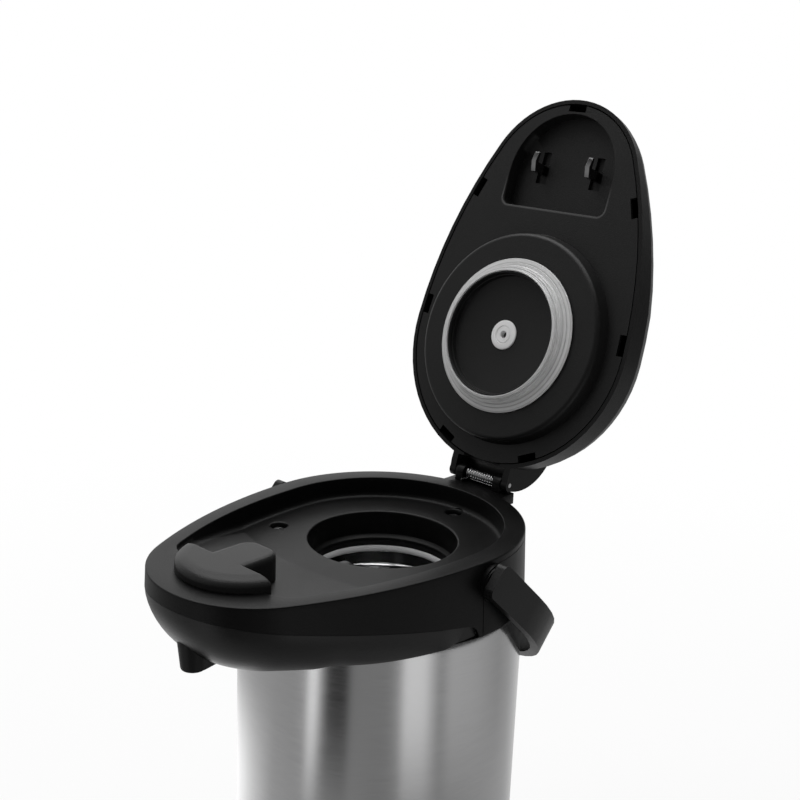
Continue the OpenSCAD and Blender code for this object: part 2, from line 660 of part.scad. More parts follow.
module outlet_duct() {
  drop = duct_depth + duct_r + 7;
  socket_low = well_depth + 8;
  color("gray") at_rim() difference() {
    union() {
      translate([0, -dip_reach, -duct_depth]) rotate([90, 0, 0]) cylinder(r = duct_r, h = spout_reach - dip_reach);
      translate([0, -spout_reach, -duct_depth]) sphere(duct_r);
      translate([0, -dip_reach, -duct_depth]) sphere(duct_r);
      translate([0, -spout_reach, -drop]) cylinder(r = duct_r, h = drop - duct_depth);
      translate([0, -dip_reach, -well_depth]) cylinder(r = duct_r, h = well_depth - duct_depth);
      translate([0, -dip_reach, -socket_low]) cylinder(r = socket_r, h = socket_low - well_depth + 1);
    }
    translate([0, -dip_reach, -duct_depth]) rotate([90, 0, 0]) cylinder(r = duct_bore_r, h = spout_reach - dip_reach);
    translate([0, -spout_reach, -duct_depth]) sphere(duct_bore_r);
    translate([0, -dip_reach, -duct_depth]) sphere(duct_bore_r);
    translate([0, -spout_reach, -drop - 1]) cylinder(r = duct_bore_r, h = drop + 1 - duct_depth);
    translate([0, -dip_reach, -well_depth - 1]) cylinder(r = duct_bore_r, h = well_depth + 1 - duct_depth);
    translate([0, -dip_reach, -socket_low - 1]) cylinder(r = dip_r + 0.05, h = socket_low - well_depth + 1);
  }
}

module dip_tube() {
  top = rim_z - well_depth - 0.5;
  low = liner_bot + steel_t + 3;
  color("lightgray") translate([0, -dip_reach, 0]) difference() {
    translate([0, 0, low]) cylinder(r = dip_r, h = top - low);
    translate([0, 0, low - 1]) cylinder(r = dip_r - 1.2, h = top);
    translate([0, dip_r, low]) rotate([45, 0, 0]) cube([4 * dip_r, dip_r, dip_r], center = true);
  }
}

module deck_screws() {
  color("silver") at_rim() for (a = screw_angles) rotate([0, 0, a]) translate([screw_circle_r, 0, 0]) difference() {
    union() {
      translate([0, 0, -screw_seat]) cylinder(r = screw_recess_r - 1, h = 2.2, $fn = 48);
      translate([0, 0, -screw_seat - 13]) cylinder(r = screw_pilot_r - 0.05, h = 13.5, $fn = 32);
    }
    for (t = [0, 90]) rotate([0, 0, t]) translate([-2.4, -0.4, -screw_seat + 1.1]) cube([4.8, 0.8, 2]);
  }
}

// Crossbar with a round front and straight back, seen from above
module keeper_bar(inset) {
  intersection() {
    translate([0, -recess_reach]) circle(keeper_r - inset, $fn = 64);
    translate([-keeper_r, -recess_reach - keeper_r])
      square([2 * keeper_r, keeper_r + recess_reach - keeper_back - 0.3 * inset]);
  }
}
module keeper_stem(inset) {
  w = stem_w - inset;
  corner = 9 - inset;
  hull() {
    for (s = [-1, 1]) translate([s * (w - corner), -stem_back - inset - corner]) circle(corner, $fn = 32);
    translate([-w, -keeper_back - 4]) square([2 * w, 1]);
  }
}
// Upright block with a round upper edge: the outline drawn in at five levels
module soft_top(low) {
  hull() {
    translate([0, 0, low]) linear_extrude(keeper_top - keeper_round - low) children(0);
    translate([0, 0, keeper_top - 0.5 * keeper_round]) linear_extrude(0.01) children(1);
    translate([0, 0, keeper_top - 0.2 * keeper_round]) linear_extrude(0.01) children(2);
    translate([0, 0, keeper_top - 0.05 * keeper_round]) linear_extrude(0.01) children(3);
    translate([0, 0, keeper_top - 0.01]) linear_extrude(0.01) children(4);
  }
}

module latch_keeper() {
  in = [0, 0.13, 0.4, 0.69, 1] * keeper_round;
  ledge = hook_nib - hook_drop + pass_gap + 0.1;
  color([0.12, 0.12, 0.12]) at_rim() intersection() {
    difference() {
      union() {
        soft_top(-6) {
          keeper_bar(in[0]);
          keeper_bar(in[1]);
          keeper_bar(in[2]);
          keeper_bar(in[3]);
          keeper_bar(in[4]);
        }
        soft_top(-tray_depth) {
          keeper_stem(in[0]);
          keeper_stem(in[1]);
          keeper_stem(in[2]);
          keeper_stem(in[3]);
          keeper_stem(in[4]);
        }
      }
      for (s = [-1, 1]) translate([s * hook_x - hook_w / 2 - 2, -keeper_back - 4 - hook_bite, -far])
        cube([hook_w + 4, far, far + ledge]);
    }
    union() {
      tray_space(keeper_top + 1);
      translate([-far, -far, 0]) cube([2 * far, 2 * far, far]);
    }
  }
}

function coil(r, turns, a0) = [for (i = [0:turns * curl_rings])
  [i / (turns * curl_rings), r * cos(a0 + 360 * i / curl_rings), r * sin(a0 + 360 * i / curl_rings)]];

module hinge_spring() {
  leg = 7;
  curl = [for (p = coil(hinge_coil_r, hinge_curls, -90)) [mix(-coil_end, coil_end, p[0]), p[1], p[2]]];
  path = concat([for (k = [3:-1:1]) curl[0] + [0, -leg * k / 3, 0]], curl,
    [for (k = [1:3]) curl[len(curl) - 1] + [0, leg * k / 3 * 0.7, 0]]);
  echo("hinge spring least gap", least_gap(curl, hinge_wire_r));
  color("silver") at_rim() translate([0, hinge_y, hinge_z]) wire(path, hinge_wire_r, [1, 0, 0]);
}

module handle_pins() {
  start = collar_in + 0.1;
  color("dimgray") at_rim() for (s = [-1, 1]) translate([s * start, 0, -pivot_depth]) rotate([0, s * 90, 0])
    cylinder(r = pivot_r, h = handle_half - 2.5 - start);
}

// Outline of the handle's band in its own plane, X across and Y along the arms
function hoop(x, len_out) = concat([[x, 0]],
  [for (a = [0:7.5:180]) [x * cos(a), arm_straight + (len_out - arm_straight) * sin(a)]], [[-x, 0]]);

module carry_handle() {
  tilt = -handle_hang;
  clear_r = body_r + 0.6;
  corner = 3.5;
  hub = handle_w / 2;
  band = concat(hoop(handle_half, handle_len), flip(hoop(handle_in, handle_len - handle_t)));
  hollow = concat(hoop(handle_half - handle_wall, handle_len - handle_wall), flip(hoop(handle_in - 1, handle_len - handle_t - 1)));
  color([0.13, 0.13, 0.13]) difference() {
    at_rim() translate([0, 0, -pivot_depth]) rotate([tilt, 0, 0]) difference() {
      union() {
        difference() {
          translate([0, 0, -hub]) linear_extrude(handle_w) polygon(band);
          translate([0, 0, -hub + handle_wall]) linear_extrude(handle_w - 2 * handle_wall) polygon(hollow);
        }
        for (s = [-1, 1]) translate([s > 0 ? handle_in : -handle_half, 0, 0]) rotate([90, 0, 90]) linear_extrude(handle_t) union() {
          translate([-arm_end + corner, -hub]) square([arm_end - corner + hub, handle_w]);
          translate([-arm_end, -hub + corner]) square([corner + 1, handle_w - 2 * corner]);
          for (c = [-1, 1]) translate([-arm_end + corner, c * (hub - corner)]) circle(corner, $fn = 32);
        }
      }
      translate([-handle_half + 2, 0, 0]) rotate([0, 90, 0]) cylinder(r = pivot_r + run_gap, h = 2 * handle_half - 4);
    }
    cylinder(r = clear_r, h = collar_bot - 4);
  }
}

// Outer or inner face of the lid's dome; grow is how far it lies inside the outer face
module lid_form(grow) {
  steps = 7;
  shape = [for (e = EGG) let (u = lid_u(egg_at(e, 0)[1]))
    [e, lid_edge_rear * u, mix(lid_rise_nose, lid_rise_rear, u), mix(lid_round_nose, lid_round_rear, u)]];
  ring = function (a) [for (s = shape)
    let (p = egg_at(s[0], lip_out + grow + (s[3] - grow) * (1 - cos(a))), z = s[1] + s[2] * sin(a))
    [p[0], p[1], lid_gap + max(z - grow * sin(a), 0.02 * a)]];
  rings = concat([level(egg_ring(lip_out + grow), lid_gap - (grow > 0 ? 1 : 0))],
    [for (k = [1:steps]) ring(90 * k / steps)],
    [for (u = [0.3, 0.6, 0.85]) [for (p = ring(90)) [p[0] * (1 - u), p[1] * (1 - u),
      mix(p[2], lid_top - grow, sin(90 * u))]]]);
  capped_loft(rings, [0, -nose_reach / 2, rings[0][0][2]], [0, 0, lid_top - grow]);
}

module horn_profile() {
  polygon(concat([[horn_c[0] - 12, lid_gap], [hinge_y - ear_r - 1, lid_gap]],
    arc([hinge_y, hinge_z], ear_r, -110, -10, 8), arc(horn_c, horn_r, 3, 84, 14),
    [[horn_c[0] - 12, horn_c[1] + horn_r - 4]]));
}

module lid_shell() {
  ear_out = ear_inner + ear_t;
  color([0.1, 0.1, 0.1]) lid_pose() difference() {
    union() {
      difference() {
        union() {
          lid_form(0);
          across(ear_out) horn_profile();
        }
        difference() {
          lid_form(wall);
          translate([0, 0, guide_end]) cylinder(r = guide_r + guide_t, h = far);
        }
      }
      translate([0, 0, lid_top - 7.5]) cylinder(r1 = guide_r + 4.2, r2 = guide_r + 3.2, h = 8.5);
    }
    translate([0, 0, -1]) cylinder(r = guide_r, h = far);
    across(ear_inner - 0.3) union() {
      translate([hinge_y, hinge_z]) circle(slot_r);
      translate([hinge_y - slot_r, -2]) square([far, hinge_z + 2]);
    }
    across(ear_inner - 0.3 - 4) translate([hinge_y - 14, -2]) square([5, 9]);
    translate([-far, hinge_y, hinge_z]) rotate([0, 90, 0]) cylinder(r = pin_r + 0.02, h = 2 * far, $fn = 32);
    translate([-pad_w - 0.5, -keeper_back - 3.2, slide_z + slide_t + 1]) cube([2 * pad_w + 1, pad_len + latch_travel + 1.6, far]);
  }
}

module recess_outline(grow) {
  r = recess_r + grow;
  corner = recess_corner + grow;
  back = -recess_back + grow;
  polygon(concat(arc([0, -recess_reach], r, 180, 360, 40), arc([r - corner, back - corner], corner, 0, 90, 6),
    arc([-r + corner, back - corner], corner, 90, 180, 6)));
}

// Clip windows: [x, y, turn] at the nose, the front sides, the rear sides and the rear
clip_in = lip_w + lid_inset + clip_w / 2;
clip_side = asin((-nose_reach + 2 - side_cy) / head_side_r);
clip_mid = asin((-10 - side_cy) / head_side_r);
clip_arcs = [[[0, -nose_reach], head_nose_r, 270], [[-side_cx, side_cy], head_side_r, clip_side],
  [[-side_cx, side_cy], head_side_r, clip_mid], [[0, 0], head_rear_r, 65], [[0, 0], head_rear_r, 115],
  [[side_cx, side_cy], head_side_r, 180 - clip_mid], [[side_cx, side_cy], head_side_r, 180 - clip_side]];
clip_spots = [for (e = clip_arcs) let (p = egg_at(e, clip_in)) [p[0], p[1], e[2]]];

module lid_plate() {
  draft = 1.3;
  boss_edge = 3;
  color([0.12, 0.12, 0.12]) lid_pose() difference() {
    union() {
      translate([0, 0, plate_z]) linear_extrude(plate_t) polygon(egg_ring(lid_inset + lip_w));
      rotate_extrude() polygon(concat([[0, -boss_drop]],
        arc([boss_r - draft - boss_edge, -boss_drop + boss_edge], boss_edge, -90, 0, 5), [[boss_r, plate_z + 0.5], [0, plate_z + 0.5]]));
      translate([0, 0, plate_z]) linear_extrude(roof_z - plate_z) recess_outline(2);
      translate([-5, -stop_back - stop_t, roof_z - 1]) cube([10, stop_t, latch_coil_z + latch_coil_r - roof_z + 2]);
    }
    translate([0, 0, -boss_drop + 2.2]) cylinder(r1 = boss_r - draft - wall - 1.4, r2 = boss_r - wall - 0.6, h = far);
    translate([0, 0, -far]) cylinder(r = seal_r - 2.7, h = far);
    translate([0, 0, -1]) linear_extrude(recess_h + 1) recess_outline(0);
    for (c = clip_spots) translate([c[0], c[1], -1]) rotate([0, 0, c[2]])
      translate([-clip_w / 2, -clip_len / 2, 0]) cube([clip_w + 1, clip_len, plate_t + 3]);
    for (s = [-1, 1]) translate([s * hook_x - hook_w / 2 - 1, -hook_slot_front, 0]) {
      cube([hook_w + 2, hook_slot_len, far]);
      translate([-1.2, hook_slot_len - 12, 0]) cube([hook_w + 4.4, 12, far]);
    }
    across(ear_inner - 0.3) translate([hinge_y - slot_r, -2]) square([far, far]);
  }
}

module hinge_pin() {
  half = ear_inner + ear_t - 0.2;
  color("silver") lid_pose() translate([-half, hinge_y, hinge_z]) rotate([0, 90, 0]) cylinder(r = pin_r, h = 2 * half, $fn = 32);
}

// Conical seal with fine ribs: its lip reaches into the mouth, its edge lies over the tray
module seal_ring() {
  low = -seal_drop;
  face = -boss_drop;
  floor_z = -tray_depth;
  neck = seal_r - 2.75;
  ribs = 5;
  flank = [for (k = [0:ribs]) each [for (q = [0, 0.75])
    [mix(lip_r + 1.1, mouth_r - 0.5, (k + q) / (ribs + 1)), mix(low + 0.6, floor_z - 0.4, (k + (q > 0 ? 0.35 : 0)) / (ribs + 1))]]];
  color([0.85, 0.87, 0.88, 0.7]) lid_pose() rotate_extrude()
    polygon(concat([[lip_r - 0.2, low + 0.4], [lip_r + 0.1, low], [lip_r + 0.7, low]], flank,
      [[mouth_r + 0.1, floor_z + 0.15], [mouth_r + 1.8, floor_z + 0.6], [seal_r - 0.5, floor_z + 1.4], [seal_r, floor_z + 1.9],
        [seal_r, floor_z + 2.5], [seal_r - 1, face], [neck, face], [neck, flange_z], [neck + 3, flange_z],
        [neck + 3, flange_z + 1.5], [lip_r - 0.2, flange_z + 1.5]]));
}

module bellows_base() {
  face = -disc_drop;
  low = -seal_drop + 0.6;
  r = lip_r - 0.3;
  color([0.08, 0.08, 0.08]) lid_pose() difference() {
    rotate_extrude() polygon([[0, face], [r - 2, face], [r - 1.4, face - 0.5], [r - 1.2, low + 0.4], [r - 0.9, low], [r - 0.3, low],
      [r, low + 0.3], [r, flange_z + 1.6], [seal_r + 0.2, flange_z + 1.6], [seal_r + 0.2, bellows_z],
      [bellows_r - 4, bellows_z], [bellows_r - 4, face + 2], [0, face + 2]]);
    translate([0, 0, -far]) cylinder(r = valve_r - 2.9, h = 2 * far);
  }
}

module air_valve() {
  face = -disc_drop - 1;
  neck = valve_r - 3;
  color("lightgray") lid_pose() rotate_extrude()
    polygon([[valve_hole_r, face], [valve_r - 0.6, face], [valve_r, face + 0.5], [valve_r, face + 1], [neck, face + 1],
      [neck, face + 3], [neck + 1.8, face + 3], [neck + 1.8, face + 4], [valve_hole_r, face + 4]]);
}

module pump_bellows() {
  skin = 1.2;
  low = bellows_z;
  fold = (seat_z - low - 3) / folds;
  zig = function (o) [for (k = [0:2 * folds]) [bellows_r - o - (k % 2 == 0 ? 0 : fold_depth), low + 1.5 + k * fold / 2]];
  color([0.2, 0.2, 0.2]) lid_pose() rotate_extrude()
    polygon(concat([[bellows_r, low]], zig(0), [[bellows_r, seat_z], [bellows_r - skin - 3, seat_z]],
      flip(zig(skin)), [[bellows_r - skin - 3, low]]));
}

module pump_spring() {
  low = -disc_drop + 2 + pump_wire_r + 0.1;
  high = seat_z + 1.8 - pump_wire_r;
  path = [for (p = coil(pump_coil_r, pump_curls, 0)) [p[1], p[2], mix(low, high, p[0])]];
  echo("pump spring least gap", least_gap(path, pump_wire_r));
  color("silver") lid_pose() wire(path, pump_wire_r, [0, 0, 1]);
}

module pump_button() {
  dish = 2.2;
  shell = 3;
  color([0.11, 0.11, 0.11]) lid_pose() rotate_extrude()
    polygon(concat([[0, button_top - dish], [button_r * 0.55, button_top - dish * 0.55], [button_r - 5, button_top]],
      arc([button_r - 3, button_top - 3], 3, 90, 0, 6), [[button_r, skirt_z], [button_r - shell, skirt_z],
        [button_r - shell, button_top - dish - shell], [bellows_r, button_top - dish - shell],
        [bellows_r, seat_z + 0.1], [bellows_r - 5, seat_z + 0.1], [bellows_r - 5, seat_z + 2], [0, seat_z + 2]]));
}

module latch_slide() {
  z1 = slide_z + slide_t;
  front = -keeper_back - 2.5;
  rise = (lid_top - lid_rise_nose) / (nose_reach + head_nose_r - lid_round_nose);
  top = function (y) lid_rise_nose + rise * (y + nose_reach + head_nose_r - lid_round_nose) + 2.2;
  color([0.13, 0.13, 0.13]) lid_pose() union() {
    translate([-hook_x - 5, -slide_front, slide_z]) cube([2 * hook_x + 10, slide_front - slide_back, slide_t]);
    across(pad_w) polygon([[front, z1 - 0.5], [front + pad_len, z1 - 0.5], [front + pad_len, top(front + pad_len)],
      [front + pad_len / 2, top(front + pad_len / 2) - 0.7], [front, top(front)]]);
    translate([-5, -slide_back - 2, z1 - 0.5]) cube([10, 2, 2 * latch_coil_r + 2.2]);
  }
}

module latch_hooks() {
  nib = [[-leg_front + leg_d, slide_z], [-leg_front, slide_z], [-leg_front, -hook_drop + hook_nib],
    [-hook_front, -hook_drop + hook_nib], [-hook_front, -hook_drop + 1.4], [-leg_front, -hook_drop],
    [-leg_front + leg_d, -hook_drop + 2]];
  color("silver") lid_pose() for (s = [-1, 1]) translate([s * hook_x, 0, 0]) across(hook_w / 2) polygon(nib);
}

module latch_spring() {
  curls = 6;
  front = -slide_back + latch_wire_r + 0.1;
  back = -stop_back - stop_t - latch_wire_r - 0.1;
  path = [for (p = coil(latch_coil_r, curls, 0)) [p[1], mix(front, back, p[0]), latch_coil_z + p[2]]];
  echo("latch spring least gap", least_gap(path, latch_wire_r));
  color("silver") lid_pose() wire(path, latch_wire_r, [0, 1, 0]);
}

foot_ring();
base_cup();
shell_bottom();
outer_shell();
shell_shoulder();
liner_bottom();
liner_tube();
liner_neck();
clamp_ring();
neck_gasket();
head_housing();
rear_collar();
front_bowl();
spout_nozzle();
outlet_duct();
dip_tube();
deck_screws();
latch_keeper();
hinge_spring();
handle_pins();
carry_handle();
lid_shell();
lid_plate();
hinge_pin();
seal_ring();
bellows_base();
air_valve();
pump_bellows();
pump_spring();
pump_button();
latch_slide();
latch_hooks();
latch_spring();
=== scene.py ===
import math
import bpy
import bmesh
from mathutils import Matrix, Vector


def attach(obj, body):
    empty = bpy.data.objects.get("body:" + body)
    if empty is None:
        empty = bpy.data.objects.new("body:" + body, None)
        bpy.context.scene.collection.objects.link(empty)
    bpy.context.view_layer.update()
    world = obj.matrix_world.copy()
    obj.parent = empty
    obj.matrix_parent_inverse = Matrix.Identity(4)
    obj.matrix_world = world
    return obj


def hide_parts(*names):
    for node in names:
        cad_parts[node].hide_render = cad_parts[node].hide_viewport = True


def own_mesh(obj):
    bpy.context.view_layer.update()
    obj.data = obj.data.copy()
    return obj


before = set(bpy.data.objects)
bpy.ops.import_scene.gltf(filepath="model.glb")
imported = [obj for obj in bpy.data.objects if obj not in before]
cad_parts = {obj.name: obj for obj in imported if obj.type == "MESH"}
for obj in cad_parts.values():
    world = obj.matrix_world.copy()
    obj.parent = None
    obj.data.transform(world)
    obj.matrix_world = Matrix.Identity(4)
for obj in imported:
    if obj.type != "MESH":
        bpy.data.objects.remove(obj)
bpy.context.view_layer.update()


# Camera
# The flask was photographed from the front right, a little above the rim, with a
# short telephoto lens. Place, turn and lens come from fitting rim, mouth and body.
yaw, pitch, tilt = (math.radians(a) for a in (42.506, 15.938, 2.181))
cam_place = Vector((0.47524, -0.50820, 0.56843))
cam_back = Vector((math.sin(yaw) * math.cos(pitch), -math.cos(yaw) * math.cos(pitch), math.sin(pitch)))
cam_right = Vector((math.cos(yaw), math.sin(yaw), 0))
cam_up = cam_back.cross(cam_right)
cam_side = cam_right * math.cos(tilt) + cam_up * math.sin(tilt)
cam_top = cam_up * math.cos(tilt) - cam_right * math.sin(tilt)
cam_turn = Matrix((cam_side, cam_top, cam_back)).transposed().to_4x4()
camera_data = bpy.data.cameras.new("photo_camera")
camera_data.sensor_width = 36
camera_data.lens = 58.89
camera = bpy.data.objects.new("photo_camera", camera_data)
bpy.context.scene.collection.objects.link(camera)
camera.matrix_world = Matrix.Translation(cam_place) @ cam_turn
bpy.context.scene.camera = camera
bpy.context.scene.view_settings.view_transform = "Standard"


# Studio
# A white room: white behind the flask, a pale floor that keeps its shadow and a broad soft light
# overhead. Lighter and darker panels round and above the flask, seen only in reflections, give the
# steel its upright streaks and keep the black sides black.
class Wire:
    """A node's output, so that shader sums read as plain Python."""

    def __init__(self, tree, socket):
        self.tree, self.socket = tree, socket

    def sum(self, operation, other=0.0, swap=False):
        node = self.tree.nodes.new("ShaderNodeMath")
        node.operation = operation
        for slot, value in zip(node.inputs, (other, self) if swap else (self, other)):
            if isinstance(value, Wire):
                self.tree.links.new(value.socket, slot)
            else:
                slot.default_value = value
        return Wire(self.tree, node.outputs[0])

    def __add__(self, other):
        return self.sum("ADD", other)

    def __sub__(self, other):
        return self.sum("SUBTRACT", other)

    def __rsub__(self, other):
        return self.sum("SUBTRACT", other, True)

    def __mul__(self, other):
        return self.sum("MULTIPLY", other)


class Tree:
    """A shader tree and the one way of adding a node to it, with short names for common nodes."""

    def __init__(self, tree):
        self.tree = tree

    def add(self, kind, settings=None, out=0, **inputs):
        node = self.tree.nodes.new(kind)
        for name, value in (settings or {}).items():
            if name == "stops":
                ramp = node.color_ramp.elements
                while len(ramp) < len(value):
                    ramp.new(1.0)
                for stop, (place, shade) in zip(ramp, value):
                    stop.position, stop.color = place, (shade, shade, shade, 1)
            else:
                setattr(node, name, value)
        for name, value in inputs.items():
            socket = node.inputs[int(name[1:])] if name[1:].isdigit() else node.inputs[name.replace("_", " ")]
            if isinstance(value, Wire):
                self.tree.links.new(value.socket, socket)
            else:
                socket.default_value = value
        return Wire(self.tree, node.outputs[out]) if node.outputs else None

    def place(self):
        """The object's own coordinates, in metres."""
        return self.add("ShaderNodeTexCoord", out="Object")

    def xyz(self, place):
        return [self.add("ShaderNodeSeparateXYZ", out=k, Vector=place) for k in range(3)]

    def noise(self, place, scale, detail, rough=0.5, size="3D"):
        return self.add("ShaderNodeTexNoise", {"noise_dimensions": size}, Vector=place, Scale=scale,
                        Detail=detail, Roughness=rough)

    def fade(self, value, start, end, low, high, curve="LINEAR"):
        """A tone that goes from low to high while the value goes from start to end."""
        return self.add("ShaderNodeMapRange", {"interpolation_type": curve}, Value=value,
                        n1=start, n2=end, n3=low, n4=high)

    def grey(self, tone):
        return self.add("ShaderNodeCombineColor", Red=tone, Green=tone, Blue=tone)


def new_finish(name):
    finish = bpy.data.materials.new(name)
    finish.use_nodes = True
    shader = finish.node_tree.nodes["Principled BSDF"]
    return finish, Tree(finish.node_tree), shader


def feed(shader, **values):
    """Sets the surface shader's sockets: a number stays on the socket, a Wire is linked."""
    for name, value in values.items():
        socket = shader.inputs[name.replace("_", " ")]
        if isinstance(value, Wire):
            value.tree.links.new(value.socket, socket)
        else:
            socket.default_value = value


def bare_tree(owner):
    """The emptied tree of a material or a world."""
    owner.use_nodes = True
    owner.node_tree.nodes.clear()
    return Tree(owner.node_tree)


world = bpy.data.worlds.new("white_room")
bpy.context.scene.world = world
room = bare_tree(world)
seen = room.add("ShaderNodeLightPath", out="Is Camera Ray")
for ray in ("Is Glossy Ray", "Is Transmission Ray"):
    seen = seen.sum("MAXIMUM", room.add("ShaderNodeLightPath", out=ray))
fill_light = 0.35
sky = room.add("ShaderNodeBackground", Color=(1, 1, 1, 1), Strength=seen * (1 - fill_light) + fill_light)
room.add("ShaderNodeOutputWorld", Surface=sky)


def stage_mesh(name, points, faces, finish):
    mesh = bpy.data.meshes.new(name)
    mesh.from_pydata(points, [], faces)
    mesh.materials.append(finish)
    thing = bpy.data.objects.new(name, mesh)
    bpy.context.scene.collection.objects.link(thing)
    return thing


panel_peak = 1.3


def panel_tones(tree, x, y, *rows):
    """A tone for each row of stops, by the angle to the right of the camera in degrees."""
    right = x * math.cos(yaw) + y * math.sin(yaw)
    front = x * math.sin(yaw) - y * math.cos(yaw)
    turn = right.sum("ARCTAN2", front) * (1 / (2 * math.pi)) + 0.5
    tones = []
    for row in rows:
        stops = [(angle / 360 + 0.5, shade / panel_peak) for angle, shade in row]
        tones.append(tree.add("ShaderNodeValToRGB", {"stops": stops}, Fac=turn))
    return tones


floor_stops = ((-180, 0.42), (-150, 0.46), (-126, 0.46), (-104, 0.42), (-62, 0.36), (-53, 0.4),
               (-49, 1.15), (-45, 1.1), (-40, 0.32), (-35, 0.05), (-22, 0.04), (-17, 0.25), (9, 0.25),
               (16, 0.36), (21, 0.88), (35, 0.86), (42, 0.5), (47, 0.3), (56, 0.5), (78, 0.46),
               (104, 0.34), (120, 0.4), (140, 0.6), (156, 0.7), (180, 0.42))
near_stops = ((-180, 0.6), (-150, 0.9), (-120, 0.8), (-80, 0.3), (0, 0.16), (60, 0.2), (120, 0.3), (180, 0.6))
wall_stops = ((-180, 1.15), (-140, 1.1), (-112, 0.45), (-92, 0.34), (-77, 0.55), (-66, 0.5), (-44, 0.14),
              (0, 0.06), (60, 0.08), (118, 0.1), (140, 0.7), (180, 1.15))

paper = bpy.data.materials.new("floor_paper")
sheet = bare_tree(paper)
x, y = sheet.xyz(sheet.place())[:2]
far_tone, near_tone = panel_tones(sheet, x, y, floor_stops, near_stops)
near_gain = 1.5
reach = (x * x + y * y).sum("SQRT")
near = sheet.fade(reach, 0.26, 0.5, 1.0, 0.0, "SMOOTHSTEP")
away = sheet.fade(reach, 0.3, 1.1, 0.78, 1.0, "SMOOTHSTEP")
matt = sheet.add("ShaderNodeBsdfDiffuse", Color=(0.86, 0.86, 0.86, 1))
glow = sheet.add("ShaderNodeEmission", Color=(1, 1, 1, 1), Strength=1.0)
backdrop = sheet.add("ShaderNodeLightPath", out="Is Camera Ray") * away
plain = sheet.add("ShaderNodeMixShader", Fac=backdrop, n1=matt, n2=glow)
floor_tone = far_tone * (1 - near) + near_tone * near * near_gain
panels = sheet.add("ShaderNodeEmission", Color=floor_tone, Strength=panel_peak)
mirrored = sheet.add("ShaderNodeLightPath", out="Is Glossy Ray")
floor_face = sheet.add("ShaderNodeMixShader", Fac=mirrored, n1=plain, n2=panels)
sheet.add("ShaderNodeOutputMaterial", Surface=floor_face)
floor_half, floor_z = 9, -0.0005
corners = [(i * floor_half, j * floor_half, floor_z) for i, j in ((-1, -1), (1, -1), (1, 1), (-1, 1))]
stage_mesh("floor", corners, [(0, 1, 2, 3)], paper)

wall_paint = bpy.data.materials.new("room_panels")
wall_tree = bare_tree(wall_paint)
x, y, height = wall_tree.xyz(wall_tree.place())
wall_tone = panel_tones(wall_tree, x, y, wall_stops)[0]
lower = wall_tree.fade(height, 0.3, 0.8, 0.7, 1.0, "SMOOTHSTEP")
upper = wall_tree.fade(height, 1.1, 2.2, 1.0, 0.25, "SMOOTHSTEP")
wall_light = wall_tree.add("ShaderNodeEmission", Color=wall_tone, Strength=lower * upper * panel_peak)
wall_tree.add("ShaderNodeOutputMaterial", Surface=wall_light)
wall_r, wall_top, sides = 1.6, 2.4, 96
wall_angles = [2 * math.pi * k / sides for k in range(sides)]
wall_points = [(wall_r * math.cos(a), wall_r * math.sin(a), z) for z in (0.0, wall_top) for a in wall_angles]
wall_faces = [(k, (k + 1) % sides, (k + 1) % sides + sides, k + sides) for k in range(sides)]
ceiling = tuple(range(2 * sides - 1, sides - 1, -1))
room_wall = stage_mesh("room_panels", wall_points, wall_faces + [ceiling], wall_paint)
for ray in ("camera", "diffuse", "shadow", "transmission"):
    setattr(room_wall, "visible_" + ray, False)


def soft_box(name, place, aim, wide, tall, watts):
    lamp = bpy.data.lights.new(name, "AREA")
    lamp.shape, lamp.size, lamp.size_y, lamp.energy = "RECTANGLE", wide, tall, watts
    holder = bpy.data.objects.new(name, lamp)
    holder.location = place
    holder.rotation_euler = (Vector(aim) - Vector(place)).to_track_quat("-Z", "Y").to_euler()
    bpy.context.scene.collection.objects.link(holder)


soft_box("overhead_box", place=(-0.45, 0.3, 1.9), aim=(-0.4, 0.25, 0.3), wide=2.1, tall=1.7, watts=34)


# Head housing
# The egg-shaped top of the flask, moulded in black plastic with a fine spark-eroded grain. It is
# one skin swept round the egg: skirt, rolled rim, tray wall with a filleted foot, floor and ramp,
# then the mouth's well. The hinge block with its two knuckles stands on the rear of the rim.
rim, hinge_y, hinge_z = 300.0, 86.8, 4.7
rear_r, nose_r, nose_y, side_r = 80.6, 57.6, -93.2, 275.7
side_y = ((side_r - nose_r) ** 2 - (side_r - rear_r) ** 2 - nose_y ** 2) / (-2 * nose_y)
side_x = math.sqrt((side_r - rear_r) ** 2 - side_y ** 2)
turn_rear, turn_nose = math.atan2(-side_y, side_x), math.atan2(nose_y - side_y, side_x)
crease_y, crease_r, tray_z, ramp_rise = 112, 175, -12.4, 0.148
split_y, split_step, collar_top, draft = -7.3, 0.001, -3.6, 0.045
screw_circle, screw_angles = 62.0, (90, 210, 330)


def steps(a, b, n):
    return [a + (b - a) * k / n for k in range(n)]


def blend(a, b, u):
    return a + (b - a) * u


def ease(u):
    u = max(0.0, min(1.0, u))
    return u * u * (3 - 2 * u)


def bend(cx, cy, r, a, b, n):
    """Points on an arc, angles in degrees."""
    turns = [math.radians(a + (b - a) * k / n) for k in range(n + 1)]
    return [(cx + r * math.cos(t), cy + r * math.sin(t)) for t in turns]


def side_arc(right, a):
    """A place on the head's long right or left side, by the right side's angle."""
    return (-side_x, side_y, side_r, a) if right else (side_x, side_y, side_r, math.pi - a)


def egg_arcs(fine):
    """Centre, radius and angle of each place round the head's outline."""
    right = [(-side_x, side_y, side_r, a) for a in steps(turn_nose, turn_rear, 8 * fine)]
    rear = [(0, 0, rear_r, a) for a in steps(turn_rear, math.pi - turn_rear, 18 * fine)]
    left = [(side_x, side_y, side_r, a) for a in steps(math.pi - turn_rear, math.pi - turn_nose, 8 * fine)]
    nose = [(0, nose_y, nose_r, a) for a in steps(math.pi - turn_nose, 2 * math.pi + turn_nose, 16 * fine)]
    return right + rear + left + nose


